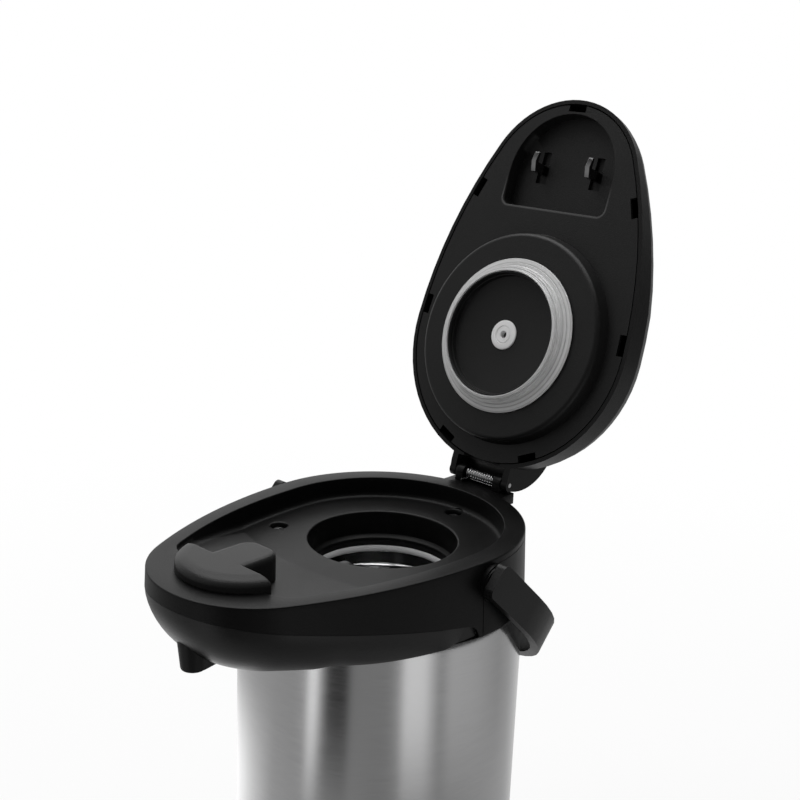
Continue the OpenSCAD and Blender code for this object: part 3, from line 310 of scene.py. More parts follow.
def inward(arc, inset):
    cx, cy, r, a = arc
    return cx + (r - inset) * math.cos(a), cy + (r - inset) * math.sin(a)


def lift(x, y, z):
    """A place counted from the rim in millimetres, in the frame's metres."""
    return x / 1000, y / 1000, (rim + z) / 1000


def level_ring(cx, cy, r, z, n):
    return [lift(cx + r * math.cos(t), cy + r * math.sin(t), z) for t in steps(0, 2 * math.pi, n)]


def swept_mesh(name, rows, wrap=False, caps=False):
    """Skin over rings of points; wrap joins the last ring to the first, caps closes both ends."""
    n, m = len(rows[0]), len(rows)
    faces = []
    for k in range(m if wrap else m - 1):
        a, b = k * n, (k + 1) % m * n
        faces += [(a + i, a + (i + 1) % n, b + (i + 1) % n, b + i) for i in range(n)]
    if caps:
        faces += [tuple(range(n - 1, -1, -1)), tuple(range((m - 1) * n, m * n))]
    mesh = bpy.data.meshes.new(name)
    mesh.from_pydata([p for row in rows for p in row], [], faces)
    return mesh


def dress(name, mesh, node, body, finish, angle=35, tidy=True, flat=False):
    """Gives a finished mesh its material and puts it in place of the CAD node.

    Edges over the angle stay sharp, tidy mends the faces first and flat keeps wide faces even.
    """
    work = bmesh.new()
    work.from_mesh(mesh)
    if tidy:
        bmesh.ops.remove_doubles(work, verts=work.verts, dist=2e-6)
        bmesh.ops.dissolve_degenerate(work, dist=1e-6, edges=work.edges)
        bmesh.ops.recalc_face_normals(work, faces=work.faces)
    work.to_mesh(mesh)
    work.free()
    mesh.materials.clear()
    mesh.materials.append(finish)
    for face in mesh.polygons:
        face.use_smooth, face.material_index = True, 0
    mesh.set_sharp_from_angle(angle=math.radians(angle))
    piece = bpy.data.objects.new(name, mesh)
    bpy.context.scene.collection.objects.link(piece)
    if flat:
        piece.modifiers.new("even_shade", "WEIGHTED_NORMAL").keep_sharp = True
    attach(piece, body)
    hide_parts(node)
    return piece


def merged_copy(node):
    """The CAD node's own mesh, with its loose triangles joined into whole faces."""
    work = bmesh.new()
    work.from_mesh(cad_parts[node].data)
    bmesh.ops.remove_doubles(work, verts=work.verts, dist=2e-6)
    bmesh.ops.dissolve_limit(work, angle_limit=math.radians(0.4), verts=work.verts, edges=work.edges)
    return work


def sharp_edges(work, angle):
    return [e for e in work.edges if e.is_manifold and e.calc_face_angle() > math.radians(angle)]


def round_off(work, edges, width, parts):
    """Rounds edges off, width in millimetres."""
    bmesh.ops.bevel(work, geom=edges, offset=width / 1000, segments=parts, profile=0.5,
                    affect="EDGES", clamp_overlap=True)


def soft_mesh(node, edge, angle=32, parts=2, first=None):
    """A copy of a CAD node with its sharp edges rounded off.

    first is a wider rounding before that: its width, its parts and a test on an edge's middle.
    """
    work = merged_copy(node)
    if first:
        width, cuts, chosen = first
        middles = [(e, (e.verts[0].co + e.verts[1].co) * 500) for e in sharp_edges(work, angle)]
        round_off(work, [e for e, middle in middles if chosen(middle)], width, cuts)
    round_off(work, sharp_edges(work, angle), edge, parts)
    mesh = bpy.data.meshes.new(node + "_soft")
    work.to_mesh(mesh)
    work.free()
    return mesh


def settled(piece):
    """The mesh that an object's modifiers leave; the object itself is removed."""
    graph = bpy.context.evaluated_depsgraph_get()
    mesh = bpy.data.meshes.new_from_object(piece.evaluated_get(graph), depsgraph=graph)
    bpy.data.objects.remove(piece)
    return mesh


def joined(name, meshes):
    work = bmesh.new()
    for mesh in meshes:
        work.from_mesh(mesh)
    whole = bpy.data.meshes.new(name)
    work.to_mesh(whole)
    work.free()
    return whole


def satin(name, shade, rough, grain=0.5, shine=0.35, matt=None):
    """Moulded plastic: a fine grain, a slow drift of gloss and, where matt says so, a paler part of painted
    light.
    """
    finish, t, shader = new_finish(name)
    place = t.place()
    fine = t.noise(place, scale=1200.0, detail=2.0, rough=0.6)
    drift = t.noise(place, scale=34.0, detail=3.0)
    # matt adds painted light to the shade where it is given.
    tone = (drift * 0.35 + fine * 0.5 + 0.575) * (shade if matt is None else matt(t, place) + shade)
    feed(shader, Base_Color=t.grey(tone), Roughness=drift * 0.1 + fine * 0.08 + (rough - 0.09),
         Normal=t.add("ShaderNodeBump", Strength=grain, Distance=0.0002, Height=fine),
         Specular_IOR_Level=shine)
    return finish


def ramp_painted_sheen(t, place):
    """Painted sheen: extra paleness of the ramp in front of the tray's crease, paler towards its left side,
    standing in for the light the slope catches.
    """
    sheen_y, sheen_long, sheen_wide, sheen_top = -0.056, 0.0898, 0.058, 0.2975
    x, y, z = t.xyz(place)
    from_crease, ahead = y - crease_y / 1000, (y - sheen_y) * (1 / sheen_long)
    past = (x * x + from_crease * from_crease).sum("SQRT").sum("GREATER_THAN", crease_r / 1000)
    inside = (x * x * (1 / sheen_wide ** 2) + ahead * ahead).sum("LESS_THAN", 1.0)
    far_side = t.fade(x, -0.045, 0.01, 0.016, 0.002)
    return past * inside * z.sum("LESS_THAN", sheen_top) * far_side


def bearing(arc):
    """Angle of a place on the outline, seen from the middle of the egg."""
    egg_middle_y = -40
    x, y = inward(arc, 0)
    return math.atan2(y - egg_middle_y, x)


# The head's black carries the ramp's painted sheen as a paler part.
head_black = satin("head_black", 0.003, 0.4, shine=0.19, matt=ramp_painted_sheen)
arcs = egg_arcs(6)
for edge_y in (split_y, split_y - split_step):
    arcs += [side_arc(right, math.asin((edge_y - side_y) / side_r)) for right in (True, False)]
arcs.sort(key=bearing)


def behind_split(y):
    return y > split_y - split_step / 2


def tray_level(x, y):
    """Height of the tray's floor and, in front of the arched crease, of its ramp."""
    past = math.hypot(x, y - crease_y) - crease_r
    return tray_z + ramp_rise * (past + math.sqrt(past * past + 1)) / 2


def seam_level(y):
    """Height of the inclined parting plane between the head and the bowl."""
    return -36.7 - 0.184 * y


def skirt_end(y):
    """Lower edge of the head's wall: the parting plane, then a curve down to the collar."""
    if behind_split(y):
        return collar_top
    curve_y, curve_long, curve_drop = -18.2, 8.2, 6.8
    turn = max(0.0, min(1.0, (y - curve_y) / curve_long))
    return seam_level(y) - curve_drop * (1 - math.sqrt(1 - turn ** 2.4))


def rim_width(arc):
    """Width of the rim; under the keeper's crossbar the rim reaches further in."""
    rear_w, nose_w, bar_w, bar_half, bar_fade, narrow_y = 12, 9.2, 18, 46, 8, 20
    x, y = inward(arc, nose_w)
    under_bar = ease((bar_half - abs(x)) / bar_fade) if y < nose_y else 0
    return blend(blend(rear_w, nose_w, ease((narrow_y - y) / (narrow_y - nose_y))), bar_w, under_bar)


roll, roll_inset, tray_edge, fillet = 0.8, 0.75, 0.6, 3.2
mouth_edge, mouth_round, mouth_r = 43.7, 1.1, 42.6
well = [(mouth_edge - mouth_round * math.sin(a), tray_z - mouth_round + mouth_round * math.cos(a))
        for a in steps(0, math.pi / 2, 4)]
well += [(mouth_r, tray_z - mouth_round), (mouth_r, -26.6), (42.3, -27.0), (40.9, -28.2), (40.5, -28.4)]
well += [(40.3, -28.7), (40.3, -30), (45, -30), (45, -15.2), (58, -15.2)]
head_rows = []
for arc in arcs:
    y0 = inward(arc, 0)[1]
    low, width = skirt_end(y0), rim_width(arc)
    foot = draft * low
    if behind_split(y0):
        column = [(2.4, -14.8), (1.0, -14.8), (1.0, collar_top)]
    else:
        column = [(foot + inset, low) for inset in (2.6, 1.8, 1.0)]
    column += [(foot + 0.35, low), (foot + 0.1, low + 0.1), (foot, low + 0.35)]
    column += [(draft * z, z) for z in steps(low + 0.36, -roll, 6)]
    for a in steps(math.pi, math.pi / 2, 5):
        column.append((roll_inset + roll * math.cos(a), roll * math.sin(a) - roll))
    column += [(roll_inset, 0), (width / 2, 0)]
    for a in steps(0, math.pi / 2, 5):
        column.append((width - tray_edge + tray_edge * math.sin(a), tray_edge * math.cos(a) - tray_edge))
    line = [lift(*inward(arc, inset), z) for inset, z in column]
    ground = tray_level(*inward(arc, width))
    line += [lift(*inward(arc, width), z) for z in steps(-tray_edge, ground + fillet, 3)]
    for a in steps(0, math.pi / 2, 8):
        p = inward(arc, width + fillet * (1 - math.cos(a)))
        line.append(lift(*p, tray_level(*p) + fillet * (1 - math.sin(a))))
    outer = inward(arc, width + fillet)
    round_x, round_y = (c / math.hypot(*outer) for c in outer)
    for u in steps(0, 1, 34):
        x, y = blend(outer[0], round_x * mouth_edge, u), blend(outer[1], round_y * mouth_edge, u)
        line.append(lift(x, y, tray_level(x, y)))
    line += [lift(round_x * r, round_y * r, z) for r, z in well]
    head_rows.append(line)
head_skin = swept_mesh("head_skin", [list(row) for row in zip(*head_rows)], wrap=True)


def block(x0, x1, y0, y1, z0, z1):
    """A box with soft edges, in millimetres from the rim."""
    work = bmesh.new()
    bmesh.ops.create_cube(work, size=1.0)
    for v in work.verts:
        share = v.co + Vector((0.5, 0.5, 0.5))
        v.co = lift(blend(x0, x1, share.x), blend(y0, y1, share.y), blend(z0, z1, share.z))
    round_off(work, list(work.edges), 0.4, 2)
    mesh = bpy.data.meshes.new("block")
    work.to_mesh(mesh)
    work.free()
    return mesh


def lying_drum(x0, x1, y, z, r, edge):
    """A short cylinder along X with soft edges."""
    end = [(0, 0.01), (0, r - edge), (edge * 0.3, r - edge * 0.3), (edge, r)]
    line = [(x0 + d, q) for d, q in end] + [(x1 - d, q) for d, q in end[::-1]]
    turns = [(math.cos(a), math.sin(a)) for a in steps(0, 2 * math.pi, 64)]
    return swept_mesh("drum", [[lift(x, y + q * c, z + q * s) for c, s in turns] for x, q in line], caps=True)


knuckle_in, knuckle_out, knuckle_r, block_rear = 11.5, 17.5, 4.2, 90.5
hinge_parts = [block(-23, 23, 71.6, block_rear, -7.5, -0.6)]
for s in (-1, 1):
    near_x, far_x = sorted((s * knuckle_in, s * knuckle_out))
    hinge_parts.append(block(near_x, far_x, hinge_y - knuckle_r, block_rear, -1.6, hinge_z))
    hinge_parts.append(lying_drum(near_x, far_x, hinge_y, hinge_z, knuckle_r, 0.4))
screw_spots = [(screw_circle * math.cos(math.radians(a)), screw_circle * math.sin(math.radians(a)))
               for a in screw_angles]
hole = [(0.01, -16.95), (4.8, -16.95), (4.8, -13.4), (5.2, -12.7), (5.8, -12.3), (5.8, 5), (0.01, 5)]
holes = [swept_mesh("hole", [level_ring(x, y, r, z, 48) for r, z in hole], caps=True) for x, y in screw_spots]
drill = bpy.data.objects.new("drill", joined("drill", holes))
drilled = bpy.data.objects.new("drilled", head_skin)
for thing in (drill, drilled):
    bpy.context.scene.collection.objects.link(thing)
    work = bmesh.new()
    work.from_mesh(thing.data)
    bmesh.ops.recalc_face_normals(work, faces=work.faces)
    work.to_mesh(thing.data)
    work.free()
cut = drilled.modifiers.new("screw_recesses", "BOOLEAN")
cut.operation, cut.object, cut.solver = "DIFFERENCE", drill, "EXACT"
head_skin = settled(drilled)
bpy.data.objects.remove(drill)
dress("head", joined("head", [head_skin] + hinge_parts), "head_housing", "flask", head_black)


# Rear collar and handle pivots
# A half ring behind the head that carries the handle, moulded in the same black plastic,
# with a round boss at each side. A plain pin through each boss takes one arm of the handle.
for name, node, edge in (("collar", "rear_collar", 0.35), ("pivot_pins", "handle_pins", 0.4)):
    dress(name, soft_mesh(node, edge), node, "flask", head_black, flat=True)


# Front bowl and spout nozzle
# The pouring side under the nose: a thin moulded bowl whose flank rolls in to a floor, with a
# fairing round the spout. The nozzle is a separate moulding pushed through the floor.
bowl_black = satin("bowl_black", 0.005, 0.34, shine=0.33)
bowl_end_y, tongue_start_y, tongue_end_y = -19.5, -28.5, -9.4
stop_turn = math.asin((bowl_end_y - side_y) / side_r)
front = [(side_x, side_y, side_r, a) for a in steps(math.pi - stop_turn, math.pi - turn_nose, 30)]
front += [(0, nose_y, nose_r, a) for a in steps(math.pi - turn_nose, 2 * math.pi + turn_nose, 96)]
front += [(-side_x, side_y, side_r, a) for a in steps(2 * math.pi + turn_nose, 2 * math.pi + stop_turn, 30)]
front.append((-side_x, side_y, side_r, 2 * math.pi + stop_turn))


def bowl_floor(y):
    """Height of the bowl's floor, lowest across the middle of the nose."""
    low_y, low_z = -85, -51.2
    return low_z + 0.174 * (y - low_y) if y > low_y else low_z - 0.13 * (y - low_y)


def bowl_line(arc, thick=2.4, parts=16, roundness=1.75):
    """One cut through the bowl's wall: down the outside, over the floor, up the inside."""
    cx, cy, r, a = arc
    y0 = inward(arc, 0)[1]
    start = draft * seam_level(y0) + 2 * ease((y0 + 35.5) / 16)
    back_r = blend(80.1675, 82.5, ease((-16 - y0) / 12))

    def reach(radius):
        """Inset at which the outline's normal meets a circle round the body's axis."""
        h = cx * math.cos(a) + cy * math.sin(a)
        k = h * h - (cx * cx + cy * cy - radius * radius)
        return 200.0 if k < 0 else r + h - math.sqrt(k)

    wanted, room_left = start + 38 * ease((-20 - y0) / 75), reach(back_r + 0.9)
    draw = max(start + 0.3, (wanted + room_left - math.sqrt((wanted - room_left) ** 2 + 16)) / 2)
    draw_in = min(draw + 0.8 * thick, reach(back_r + 0.2))
    fx, fy = inward(arc, draw)
    ground = bowl_floor(fy)
    bx, by = (c / math.hypot(fx, fy) * back_r for c in (fx, fy))
    falls = [math.sin(math.pi / 2 * k / parts) for k in range(parts + 1)]
    rolls = [1 - (1 - d ** roundness) ** (1 / roundness) for d in falls]
    outside = [inward(arc, blend(start, draw, q)) for q in rolls]
    inside = [inward(arc, blend(start + thick, draw_in, q)) for q in rolls]
    line = [lift(x, y, blend(seam_level(y), ground, d)) for (x, y), d in zip(outside, falls)]
    line += [lift(bx, by, ground), lift(bx, by, ground + thick)]
    back = [lift(x, y, blend(seam_level(y), ground + thick, d)) for (x, y), d in zip(inside, falls)]
    return line + back[::-1]


bowl_skin = swept_mesh("bowl_skin", [bowl_line(arc) for arc in front], caps=True)
spout_y, keel_z = -136, -46
keel = bmesh.new()
for back, up, r in ((2, 0.6, 6.4), (2, 12, 8), (9, 0.6, 5.4), (23, 3, 3.6)):
    for z in (keel_z + up, keel_z + up + 0.5):
        for p in level_ring(0, spout_y + back, r, z, 72):
            keel.verts.new(p)
hull = bmesh.ops.convex_hull(keel, input=keel.verts)
spare = [v for v in hull["geom_interior"] + hull["geom_unused"] if isinstance(v, bmesh.types.BMVert)]
bmesh.ops.delete(keel, geom=list(set(spare)), context="VERTS")
keel_skin = bpy.data.meshes.new("keel_skin")
keel.to_mesh(keel_skin)
keel.free()
tongue_cut = ((0.5, -32.6), (0.5, -41.2), (0.8, -41.5), (1.9, -41.5), (1.9, -32.6))
tongue_turns = [math.asin((y - side_y) / side_r) for y in steps(tongue_start_y, tongue_end_y, 14)]
tongues = []
for right in (True, False):
    tail = [side_arc(right, a) for a in tongue_turns]
    rows = [[lift(*inward(arc, inset), z) for inset, z in tongue_cut] for arc in tail]
    tongues.append(swept_mesh("tongue", rows, caps=True))
dress("bowl", joined("bowl", [bowl_skin, keel_skin] + tongues), "front_bowl", "flask",
      bowl_black, angle=40)
dress("nozzle", soft_mesh("spout_nozzle", 0.3, angle=50), "spout_nozzle", "flask",
      head_black, angle=40, flat=True)


# Latch keeper
# The raised catch at the nose: a crossbar with a round front and a short stem behind it, moulded
# as one soft-edged block that sits on the ramp. Its top rolls off towards the front.
keeper_black = satin("keeper_black", 0.014, 0.38, shine=0.22)
latch_y, flat_r, roll_long, roll_drop, keeper_foot, keeper_tall = -103, 27, 8.3, 2.1, 2, 5.4
lump = bpy.data.objects.new("lump", bpy.data.meshes.new("lump"))
work = merged_copy("latch_keeper")
work.to_mesh(lump.data)
work.free()
bpy.context.scene.collection.objects.link(lump)
fine_skin = lump.modifiers.new("fine_skin", "REMESH")
fine_skin.mode, fine_skin.voxel_size = "VOXEL", 0.0004
rub_down = lump.modifiers.new("rub_down", "SMOOTH")
rub_down.factor, rub_down.iterations = 0.5, 3
keeper_skin = settled(lump)
for v in keeper_skin.vertices:
    high = v.co.z * 1000 - rim - keeper_foot
    past_flat = math.hypot(v.co.x * 1000, v.co.y * 1000 - latch_y) - flat_r
    if high > 0 and past_flat > 0:
        v.co.z -= roll_drop / 1000 * (past_flat / roll_long) ** 2 * high / keeper_tall
dress("keeper", keeper_skin, "latch_keeper", "flask", keeper_black, angle=180, tidy=False)


# Steel body
# The outer shell is a tube of stainless sheet with a drawn shoulder and a pressed bottom, welded
# and then brushed round the body on a lathe, so fine lines run level and light falls in streaks.
def turned(name, line, around=256, place=lift, solid=False):
    """A lathe-turned skin from a line of (radius, height) in millimetres."""
    turns = [(math.cos(a), math.sin(a)) for a in steps(0, 2 * math.pi, around)]
    return swept_mesh(name, [[place(r * c, r * s, z) for c, s in turns] for r, z in line], wrap=solid)


def brushed(name, shade, rough, depth, fineness=2600.0, matt_above=None):
    """Steel with fine lines round the axis; above a height it is left matt from rolling."""
    finish, t, shader = new_finish(name)
    x, y, z = t.xyz(t.place())
    turn = y.sum("ARCTAN2", x)
    along_lines = t.add("ShaderNodeCombineXYZ", X=turn * 7.0, Y=z * fineness)
    along_bands = t.add("ShaderNodeCombineXYZ", X=turn * 2.0, Y=z * 160.0)
    lines = t.noise(along_lines, scale=1.0, detail=3.0, rough=0.65, size="2D")
    wide = t.noise(along_bands, scale=1.0, detail=2.0, size="2D")
    drift = lines * 0.16 + wide * 0.06
    tone = drift + 0.89
    dull = 0.0 if matt_above is None else z.sum("GREATER_THAN", matt_above)
    blue = tone * (shade * 1.005)
    feed(shader, Base_Color=t.add("ShaderNodeCombineColor", Red=tone * shade, Green=tone * shade, Blue=blue),
         Roughness=drift + dull * 0.5 + (rough - 0.11), Metallic=1 - dull * 0.8,
         Normal=t.add("ShaderNodeBump", Strength=depth, Distance=0.0001, Height=lines))
    return finish


body_steel = brushed("body_steel", 0.62, 0.17, 0.12)
body_r, body_in, body_foot, body_top = 82, 81.2, 7 - rim, -49.5
tube = [(body_in, body_foot), (body_r, body_foot), (body_r, body_top), (body_in, body_top)]
dress("body_tube", turned("body_tube", tube, solid=True), "outer_shell", "flask", body_steel)
bent = [(body_r, body_top), (body_r, -42.4), (81.8, -42.0), (81.4, -41.8), (79.9, -41.7), (79.6, -41.4)]
bent += bend(76.6, -41.5, 3, 0, 90, 8)
bent += [(43.9, -38.5), (42.9, -37.5), (42.9, -37.3), (42.1, -37.3), (42.1, -38.0), (43.5, -39.3)]
bent += [(76.6, -39.3), (78.8, -41.5), (78.8, -42.3), (81.0, -42.6), (body_in, -43.0), (body_in, body_top)]
dress("body_shoulder", turned("body_shoulder", bent, solid=True), "shell_shoulder", "flask",
      body_steel)
dress("body_bottom", soft_mesh("shell_bottom", 0.1), "shell_bottom", "flask", body_steel)


# Liner and neck gasket
# The inner bottle is drawn from the same sheet and left bright; its neck ends in a matt rolled bead.
# A dark silicone gasket lies between the bead and the head, and shows as a dark ring in the mouth.
neck_steel = brushed("neck_steel", 0.74, 0.12, 0.03, 1500.0, matt_above=0.263)
liner_r, liner_t, neck_out, bead_z, neck_foot, liner_foot = 73.2, 0.8, 42.1, -35.2, -62.5, -262
neck_line = [(blend(neck_out, liner_r, math.cos(a)), neck_foot + 18 * math.sin(a))
             for a in steps(0, math.pi / 2, 24)]
inner_line = [(neck_out - liner_t, -44.9)] + [(r - liner_t, z - 0.4) for r, z in neck_line][::-1]
bead = [(neck_out, -44.5)] + bend(41.7, bead_z, 2, -60, 110, 14)
bead += [(40.7, -33.45), (40.2, -34.2), (39.8, -35.6), (39.7, -36.6), (39.9, -37.1), (40.4, -37.3),
         (41.3, -37.6)]
dress("neck", turned("neck", neck_line + bead + inner_line, solid=True), "liner_neck", "flask",
      neck_steel, angle=50)
liner_wall = [(liner_r - liner_t, liner_foot), (liner_r, liner_foot), (liner_r, neck_foot),
              (liner_r - liner_t, neck_foot - 0.4)]
dress("liner_wall", turned("liner_wall", liner_wall, solid=True), "liner_tube", "flask",
      neck_steel)
dress("liner_end", soft_mesh("liner_bottom", 0.1), "liner_bottom", "flask", neck_steel)


def rubbery(name, shade, rough, clear=0.0, rings=None):
    """Silicone or rubber: soft, slightly uneven, cloudy when it is clear, and with painted groove shade where
    rings says so.
    """
    finish, t, shader = new_finish(name)
    place = t.place()
    cloud = t.noise(place, scale=120.0, detail=3.0)
    fine = t.noise(place, scale=1400.0, detail=2.0)
    tone = (cloud * 0.16 + fine * 0.08 + 0.88) * shade * (1.0 if rings is None else rings(t, place))
    feed(shader, Base_Color=t.grey(tone), Roughness=cloud * 0.12 + (rough - 0.06),
         Normal=t.add("ShaderNodeBump", Strength=0.08, Distance=0.0002, Height=fine),
         Transmission_Weight=clear, IOR=1.41)
    return finish


silicone = rubbery("dark_silicone", 0.014, 0.4)
gasket = [(40.6, -33.2), (44.6, -33.2), (44.6, -30), (40.9, -30), (40.6, -30.3)]
dress("gasket", turned("gasket", gasket, solid=True), "neck_gasket", "flask", silicone)


# Base cup and foot
# The body stands in a shallow black cup with rounded edges, and the cup stands on a ring of
# soft rubber that is pressed into its underside. The cup's heights are counted from the ground.
cup_r = 83.4
cup = [(0.01, 4), (65.8, 4), (66.2, 3.2), (79.8, 3.2), (79.8, 1.5), (81.9, 1.5), (82.8, 2), (cup_r, 3)]
cup += [(cup_r, 18)] + bend(82.6, 18.2, 0.8, 0, 90, 5) + [(82.2, 19), (82.2, 7), (77, 7), (77, 6), (0.01, 6)]
dress("cup", turned("cup", [(r, z - rim) for r, z in cup]), "base_cup", "flask", head_black)
foot_rubber = rubbery("foot_rubber", 0.03, 0.6)
dress("foot", soft_mesh("foot_ring", 0.3), "foot_ring", "flask", foot_rubber, flat=True)


# Deck screws and clamp ring
# Three cross-head screws go down through the tray's recesses into posts of a hidden clamp ring
# on the body's shoulder. One screw is built and set three times round the mouth.
screw_steel = brushed("screw_steel", 0.07, 0.36, 0.1, 3000.0)
dress("clamp", soft_mesh("clamp_ring", 0.3), "clamp_ring", "flask", head_black, flat=True)
screw_head_z, other_screws_y = 0.2845, 0.04
whole = merged_copy("deck_screws")
one = bpy.data.meshes.new("one_screw")
bmesh.ops.delete(whole, geom=[v for v in whole.verts if v.co.y < other_screws_y], context="VERTS")
head_edges = [e for e in sharp_edges(whole, 40) if all(v.co.z > screw_head_z for v in e.verts)]
round_off(whole, head_edges, 0.25, 2)
bmesh.ops.translate(whole, verts=whole.verts, vec=(0, -screw_circle / 1000, 0))
whole.to_mesh(one)
whole.free()


class Layout:
    """A geometry tree with named inputs, run once on a mesh."""

    def __init__(self, name, **inputs):
        self.tree = bpy.data.node_groups.new(name, "GeometryNodeTree")
        self.tree.interface.new_socket("Geometry", in_out="INPUT", socket_type="NodeSocketGeometry")
        self.tree.interface.new_socket("Geometry", in_out="OUTPUT", socket_type="NodeSocketGeometry")
        self.values = {}
        for label, (kind, value) in inputs.items():
            socket = self.tree.interface.new_socket(label.replace("_", " "), in_out="INPUT", socket_type=kind)
            self.values[socket.identifier] = value
        self.start = self.tree.nodes.new("NodeGroupInput")
        self.end = self.tree.nodes.new("NodeGroupOutput")

    def add(self, kind, out=0, **links):
        node = self.tree.nodes.new(kind)
        for name, value in links.items():
            socket = node.inputs[name.replace("_", " ")]
            if isinstance(value, bpy.types.NodeSocket):
                self.tree.links.new(value, socket)
            else:
                socket.default_value = value
        return node.outputs[out]

    def given(self, label):
        return self.start.outputs[label]

    def run(self, name, mesh, shape, finish):
        """Realizes the shape, gives it its material and returns the mesh it makes on a base mesh."""
        real = self.add("GeometryNodeRealizeInstances", Geometry=shape)
        done = self.add("GeometryNodeSetMaterial", Geometry=real, Material=finish)
        self.tree.links.new(done, self.end.inputs[0])
        holder = bpy.data.objects.new(name, mesh)
        bpy.context.scene.collection.objects.link(holder)
        layer = holder.modifiers.new(name, "NODES")
        layer.node_group = self.tree
        for key, value in self.values.items():
            layer[key] = value
        return settled(holder)


spots = bpy.data.meshes.new("screw_spots")
spots.from_pydata([(x / 1000, y / 1000, 0) for x, y in screw_spots], [], [])
one_screw = bpy.data.objects.new("one_screw", one)
screws = Layout("deck_screws", Turn=("NodeSocketFloat", math.radians(21)))
screw_shape = screws.add("GeometryNodeObjectInfo", out="Geometry", Object=one_screw)
turns = screws.add("ShaderNodeCombineXYZ", Z=screws.given("Turn"))
set_out = screws.add("GeometryNodeInstanceOnPoints", Points=screws.given("Geometry"),
                     Instance=screw_shape, Rotation=turns)
dress("screws", screws.run("screws", spots, set_out, screw_steel), "deck_screws", "flask",
      screw_steel, angle=40, tidy=False)
bpy.data.objects.remove(one_screw)


# Hinge pin and hinge spring
# A steel pin through the lid's ears and the head's knuckles, with a wound spring of bright wire
# round it between the knuckles that helps the lid up. The wire is drawn along its real path.
def coil(r, turns, start, n):
    """Share of the way along and place across, for each point of a winding."""
    last = turns * n
    angles = [start + 2 * math.pi * k / n for k in range(last + 1)]
    return [(k / last, r * math.cos(a), r * math.sin(a)) for k, a in enumerate(angles)]


def wound(name, path, radius, finish):
    """Round wire along a path of places, swept by geometry nodes."""
    mesh = bpy.data.meshes.new(name)
    mesh.from_pydata(path, [(k, k + 1) for k in range(len(path) - 1)], [])
    wire = Layout(name, Wire_Radius=("NodeSocketFloat", radius / 1000), Sides=("NodeSocketInt", 12))
    line = wire.add("GeometryNodeMeshToCurve", Mesh=wire.given("Geometry"))
    ring = wire.add("GeometryNodeCurvePrimitiveCircle", Radius=wire.given("Wire Radius"),
                    Resolution=wire.given("Sides"))
    tube = wire.add("GeometryNodeCurveToMesh", Curve=line, Profile_Curve=ring, Fill_Caps=True)
    return wire.run(name, mesh, tube, finish)


spring_steel = brushed("spring_steel", 0.6, 0.22, 0.05, 900.0)


def spring(name, path, radius, node, body):
    return dress(name, wound(name, path, radius, spring_steel), node, body,
                 spring_steel, angle=60, tidy=False)


coil_half, front_leg, rear_leg = 10.2, 7, 4.9
curl = [(blend(-coil_half, coil_half, u), hinge_y + p, hinge_z + q)
        for u, p, q in coil(3, 11, -math.pi / 2, 32)]
(first_x, first_y, first_z), (last_x, last_y, last_z) = curl[0], curl[-1]
hinge_path = [(first_x, first_y - front_leg * k / 3, first_z) for k in (3, 2, 1)] + curl
hinge_path += [(last_x, last_y + rear_leg * k / 3, last_z) for k in (1, 2, 3)]
spring("hinge_coil", [lift(*p) for p in hinge_path], 0.5, "hinge_spring", "flask")
dress("pin", soft_mesh("hinge_pin", 0.3), "hinge_pin", "lid", spring_steel, flat=True)


# Lid shell
# The domed outer half of the lid with its two hinge ears, a guide tube and a flared collar for the
# button and a window for the latch's thumb pad. It is moulded in the same satin black as the head.
lean = math.radians(109.5)
lean_cos, lean_sin = math.cos(lean), math.sin(lean)


def closed(y, z):
    """Where a place on the open lid lies on the closed one, in millimetres from the rim."""
    dy, dz = y * 1000 - hinge_y, z * 1000 - (rim + hinge_z)
    return dy * lean_cos - dz * lean_sin + hinge_y, dy * lean_sin + dz * lean_cos + hinge_z


def opened(x, y, z):
    """A place on the closed lid, counted from the rim in millimetres, turned with the open lid."""
    dy, dz = y - hinge_y, z - hinge_z
    return lift(x, hinge_y + dy * lean_cos + dz * lean_sin, hinge_z - dy * lean_sin + dz * lean_cos)


lid_black = satin("lid_black", 0.0045, 0.42, shine=0.24)
crown = [(36.75, 38), (36.75, 46.8), (36.95, 47.04), (39.4, 47.04), (39.9, 46.75), (40.15, 45.6)]
crown += [(40.5, 44.9), (41.2, 44.2), (42.2, 43.75), (43.4, 43.45), (44.0, 42.9), (44.4, 42.2), (44.6, 41.4)]
crown.append((44.6, 38))
crown_ring = turned("crown_ring", crown, around=192, place=opened, solid=True)
dome = joined("lid_dome", [soft_mesh("lid_shell", 0.35, angle=38), crown_ring])
dress("lid_dome", dome, "lid_shell", "lid", lid_black, angle=30, flat=True)


# Lid inner plate
# The flat inner half, clipped into the lid's lip: a round boss for the seal, a D-shaped recess
# that closes over the keeper, slots for the hooks and small windows for the clips.
def recess_mouth(p):
    """True for a place on the edge of the D-shaped recess."""
    recess_r, recess_rear = 41, -79
    y, z = closed(p.y / 1000, p.z / 1000)
    in_round = math.hypot(p.x, y - latch_y) < recess_r
    in_square = abs(p.x) < recess_r and latch_y - 1 < y < recess_rear
    return z < 2 and (in_round or in_square)


def recess_edge_highlight(t, place):
    """Painted highlight along the recess's edge, strongest on the straight edge and its corners and fading
    out round the arch, standing in for the light its bevel catches from above.
    """
    corner_x, corner_y, corner_r = 33.2, -86, 5
    x, y, z = t.xyz(place)
    y, z = closed(y, z)
    side = ((x * 1000).sum("ABSOLUTE") - corner_x).sum("MAXIMUM", 0.0)
    back = (y - corner_y).sum("MAXIMUM", 0.0)
    out = (side * side + back * back).sum("SQRT") - corner_r
    near = (1 - ((out - 0.6) * 1.1).sum("ABSOLUTE")).sum("MAXIMUM", 0.0)
    return near * z.sum("LESS_THAN", 2.2) * t.fade(y, -100.0, -84.0, 0.0, 0.075)


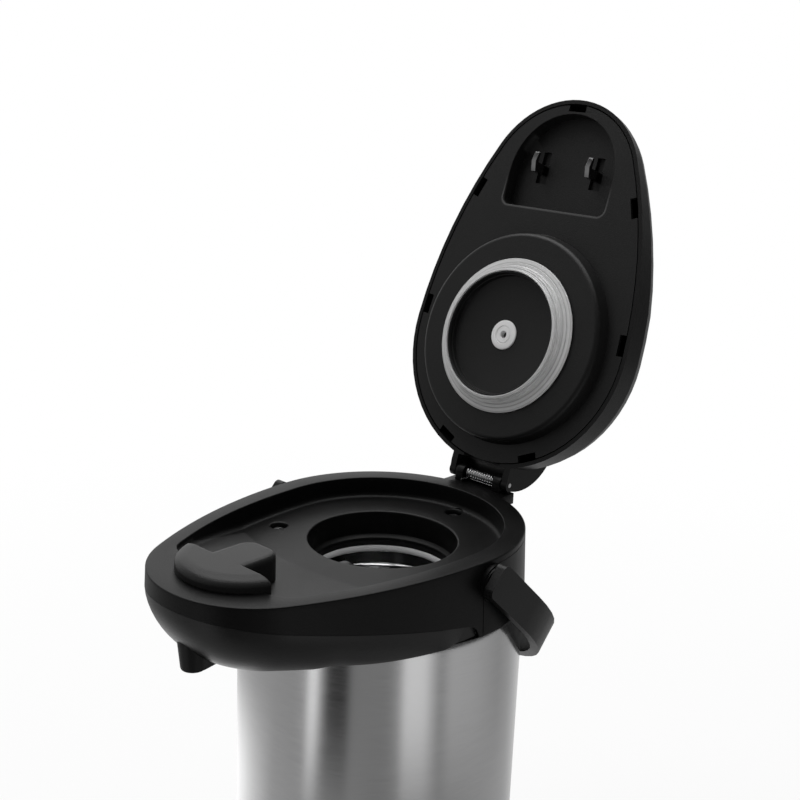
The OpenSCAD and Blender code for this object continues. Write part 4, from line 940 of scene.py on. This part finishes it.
# The plate's black carries a painted highlight along the recess's edge.
plate_black = satin("plate_black", 0.0085, 0.44, shine=0.3, matt=recess_edge_highlight)
dress("lid_inner", soft_mesh("lid_plate", 0.25, angle=38, first=(1.8, 4, recess_mouth)), "lid_plate", "lid",
      plate_black, angle=30, flat=True)


# Seal, disc and valve
# A conical seal of milky silicone with fine ribs goes into the mouth. Inside it a black cup closes
# the bellows, with a soft grey valve in its middle that lets the pumped air down into the flask.
def seal_groove_shade(t, place):
    """Painted shade: darker lines round the seal's axis, standing in for the shaded grooves between its ribs.
    """
    ring_pitch, groove_shade_depth = 2.1, 0.32
    x, y, z = t.xyz(place)
    x, along = x * 1000, closed(y, z)[0]
    wave = ((x * x + along * along).sum("SQRT") * (2 * math.pi / ring_pitch)).sum("SINE").sum("MAXIMUM", 0.0)
    return wave * wave * -groove_shade_depth + 1


# The milky silicone carries painted shade lines for the grooves between the seal's ribs.
milky = rubbery("milky_silicone", 0.85, 0.2, clear=0.35, rings=seal_groove_shade)
lip_r, lip_z, seal_r, rib_count, rib_top = 38.4, -18.0, 47.4, 3, -12.8
seal = [(lip_r - 0.2, lip_z + 0.4), (lip_r - 0.1, lip_z + 0.1), (lip_r + 0.1, lip_z), (lip_r + 0.5, lip_z)]
for k in range(rib_count):
    for q, f in ((0.0, 0.0), (0.45, 0.0), (0.6, 0.12), (0.7, 0.95)):
        rib_r = blend(lip_r + 0.9, mouth_r - 0.2, (k + q) / rib_count)
        seal.append((rib_r, blend(lip_z + 0.5, rib_top, (k + f) / rib_count)))
seal += [(mouth_r + 0.1, -12.25), (mouth_r + 1.6, -12.1), (mouth_r + 1.9, -11.4), (seal_r - 1.4, -11.3)]
seal += [(seal_r - 0.6, -11.05), (seal_r - 0.1, -10.8), (seal_r, -10.4), (seal_r, -9.9), (seal_r - 1, -8.9)]
seal += [(seal_r - 2.75, -8.9), (seal_r - 2.75, -6.7), (seal_r + 0.25, -6.7), (seal_r + 0.25, -5.2)]
seal.append((lip_r - 0.2, -5.2))
dress("seal", turned("seal", seal, place=opened, solid=True), "seal_ring", "lid", milky, angle=32)
disc_black = satin("disc_black", 0.0085, 0.48, grain=0.35, shine=0.3)
disc_r = lip_r - 0.3
disc = [(6.1, -11.1), (disc_r - 2.6, -11.1), (disc_r - 2.2, -11.25), (disc_r - 2.0, -11.6)]
disc += [(disc_r - 1.8, -14), (disc_r - 1.2, -14.2), (disc_r - 1.1, -17)]
disc += [(disc_r - 0.8, -17.4), (disc_r - 0.3, -17.4)]
disc += [(disc_r, -17.1), (disc_r, -5.1), (seal_r + 0.2, -5.1), (seal_r + 0.2, -3)]
disc += [(29, -3), (29, -9.1), (6.1, -9.1)]
dress("disc", turned("disc", disc, place=opened, solid=True), "bellows_base", "lid",
      disc_black)
valve_grey = rubbery("valve_grey", 0.78, 0.5)
valve = [(2.2, -11.9), (2.4, -12.1), (4.7, -12.1), (5.0, -11.6), (5.4, -11.6), (5.7, -12.1), (8.2, -12.1)]
valve += [(8.8, -11.85), (9, -11.5), (9, -11.1), (6, -11.1), (6, -9.1), (7.8, -9.1), (7.8, -8.1), (2.2, -8.1)]
dress("valve", turned("valve", valve, around=96, place=opened, solid=True), "air_valve", "lid",
      valve_grey)


# Pump
# A wide button in the lid's crown presses a folded rubber bellows with a return spring inside it.
# The bellows and the spring are given to the lid, and each gets a mesh of its own.
bellows_rubber = rubbery("bellows_rubber", 0.02, 0.55)
press_travel, bellows_foot, bellows_top, coil_foot, coil_top = 22, -3, 33, -8, 33.8
folds, fold, fold_deep, fold_r, fold_foot, skin = 6, 5.5, 3.5, 32.3, -1.5, 1.2
outer = []
for k in range(8 * folds):
    a = k % 8 / 8 * 2 * math.pi
    outer.append((fold_r - fold_deep + fold_deep * math.cos(a), fold_foot + k / 8 * fold))
outer.append((fold_r, fold_foot + folds * fold))
inner = [(r - skin, z) for r, z in outer[::-1]]
bellows = [(33, bellows_foot)] + outer + [(fold_r, bellows_top), (28.8, bellows_top)] + inner
bellows.append((28.8, bellows_foot))
bellows_skin = turned("bellows", bellows, around=144, place=opened, solid=True)
bellows_piece = dress("bellows", bellows_skin, "pump_bellows", "lid",
                      bellows_rubber, angle=60)
opened(0, 0, bellows_foot)
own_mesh(bellows_piece)
pump_path = [opened(p, q, blend(coil_foot, coil_top, u)) for u, p, q in coil(17, 7, 0, 40)]
pump_coil = spring("pump_coil", pump_path, 1.0, "pump_spring", "lid")
opened(0, 0, coil_foot)
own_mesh(pump_coil)
button_black = satin("button_black", 0.004, 0.34, grain=0.12, shine=0.3)
button_r, button_top, dish, dish_r = 36, 50, 2.2, 36 * 0.86
press = [(0.01, button_top - dish)]
press += [(dish_r * u, button_top - dish * (1 - ease(u))) for u in (0.1, 0.25, 0.4, 0.55, 0.7, 0.85, 1.0)]
press += bend(button_r - 3, button_top - 3, 3, 90, 0, 8)
press += [(button_r, 26.4), (35.6, 26), (33, 26), (33, 33.1), (28, 33.1), (28, 35), (0.01, 35)]
dress("button", turned("button", press, around=192, place=opened), "pump_button", "button",
      button_black)


# Latch
# A black slide with a thumb pad runs on the recess's roof. Its two bright steel hooks pass through
# slots in the roof and catch under the keeper; a small spring pushes the slide forward.
dress("slide", soft_mesh("latch_slide", 0.4), "latch_slide", "latch", lid_black, flat=True)
hook_steel = brushed("hook_steel", 0.26, 0.16, 0.02, 1200.0)
dress("hooks", soft_mesh("latch_hooks", 0.35, parts=3), "latch_hooks", "latch",
      hook_steel, flat=True)
latch_travel, spring_front, spring_rear, spring_z = 4, -95.55, -86.45, 17.25
latch_path = [opened(p, blend(spring_front, spring_rear, u), spring_z + q) for u, p, q in coil(2.2, 6, 0, 32)]
latch_coil = spring("latch_coil", latch_path, 0.35, "latch_spring", "lid")
opened(0, spring_rear, spring_z)
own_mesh(latch_coil)


# Outlet duct and dip tube
# The water's way out: a clear tube down to the bottom of the liner, pushed into a grey plastic
# duct that runs forward under the tray and turns down into the nozzle.
duct_grey = satin("duct_grey", 0.04, 0.4)
dress("duct", soft_mesh("outlet_duct", 0.25, angle=50), "outlet_duct", "flask",
      duct_grey, angle=40, flat=True)
tube_clear = rubbery("tube_clear", 0.6, 0.16, clear=0.9)
dress("dip", soft_mesh("dip_tube", 0.2, angle=50), "dip_tube", "flask",
      tube_clear, angle=40, flat=True)


# Carry handle
# A U-shaped bail moulded as a channel that is open inward, so it is light and stiff. It hangs on
# the two pivot pins and swings up towards the lid's back.
handle_black = satin("handle_black", 0.004, 0.4, shine=0.28)
dress("handle", soft_mesh("carry_handle", 1.1, angle=38, parts=4), "carry_handle", "handle",
      handle_black, angle=32, flat=True)


# Last update
# The view layer is brought up to date.
bpy.context.view_layer.update()
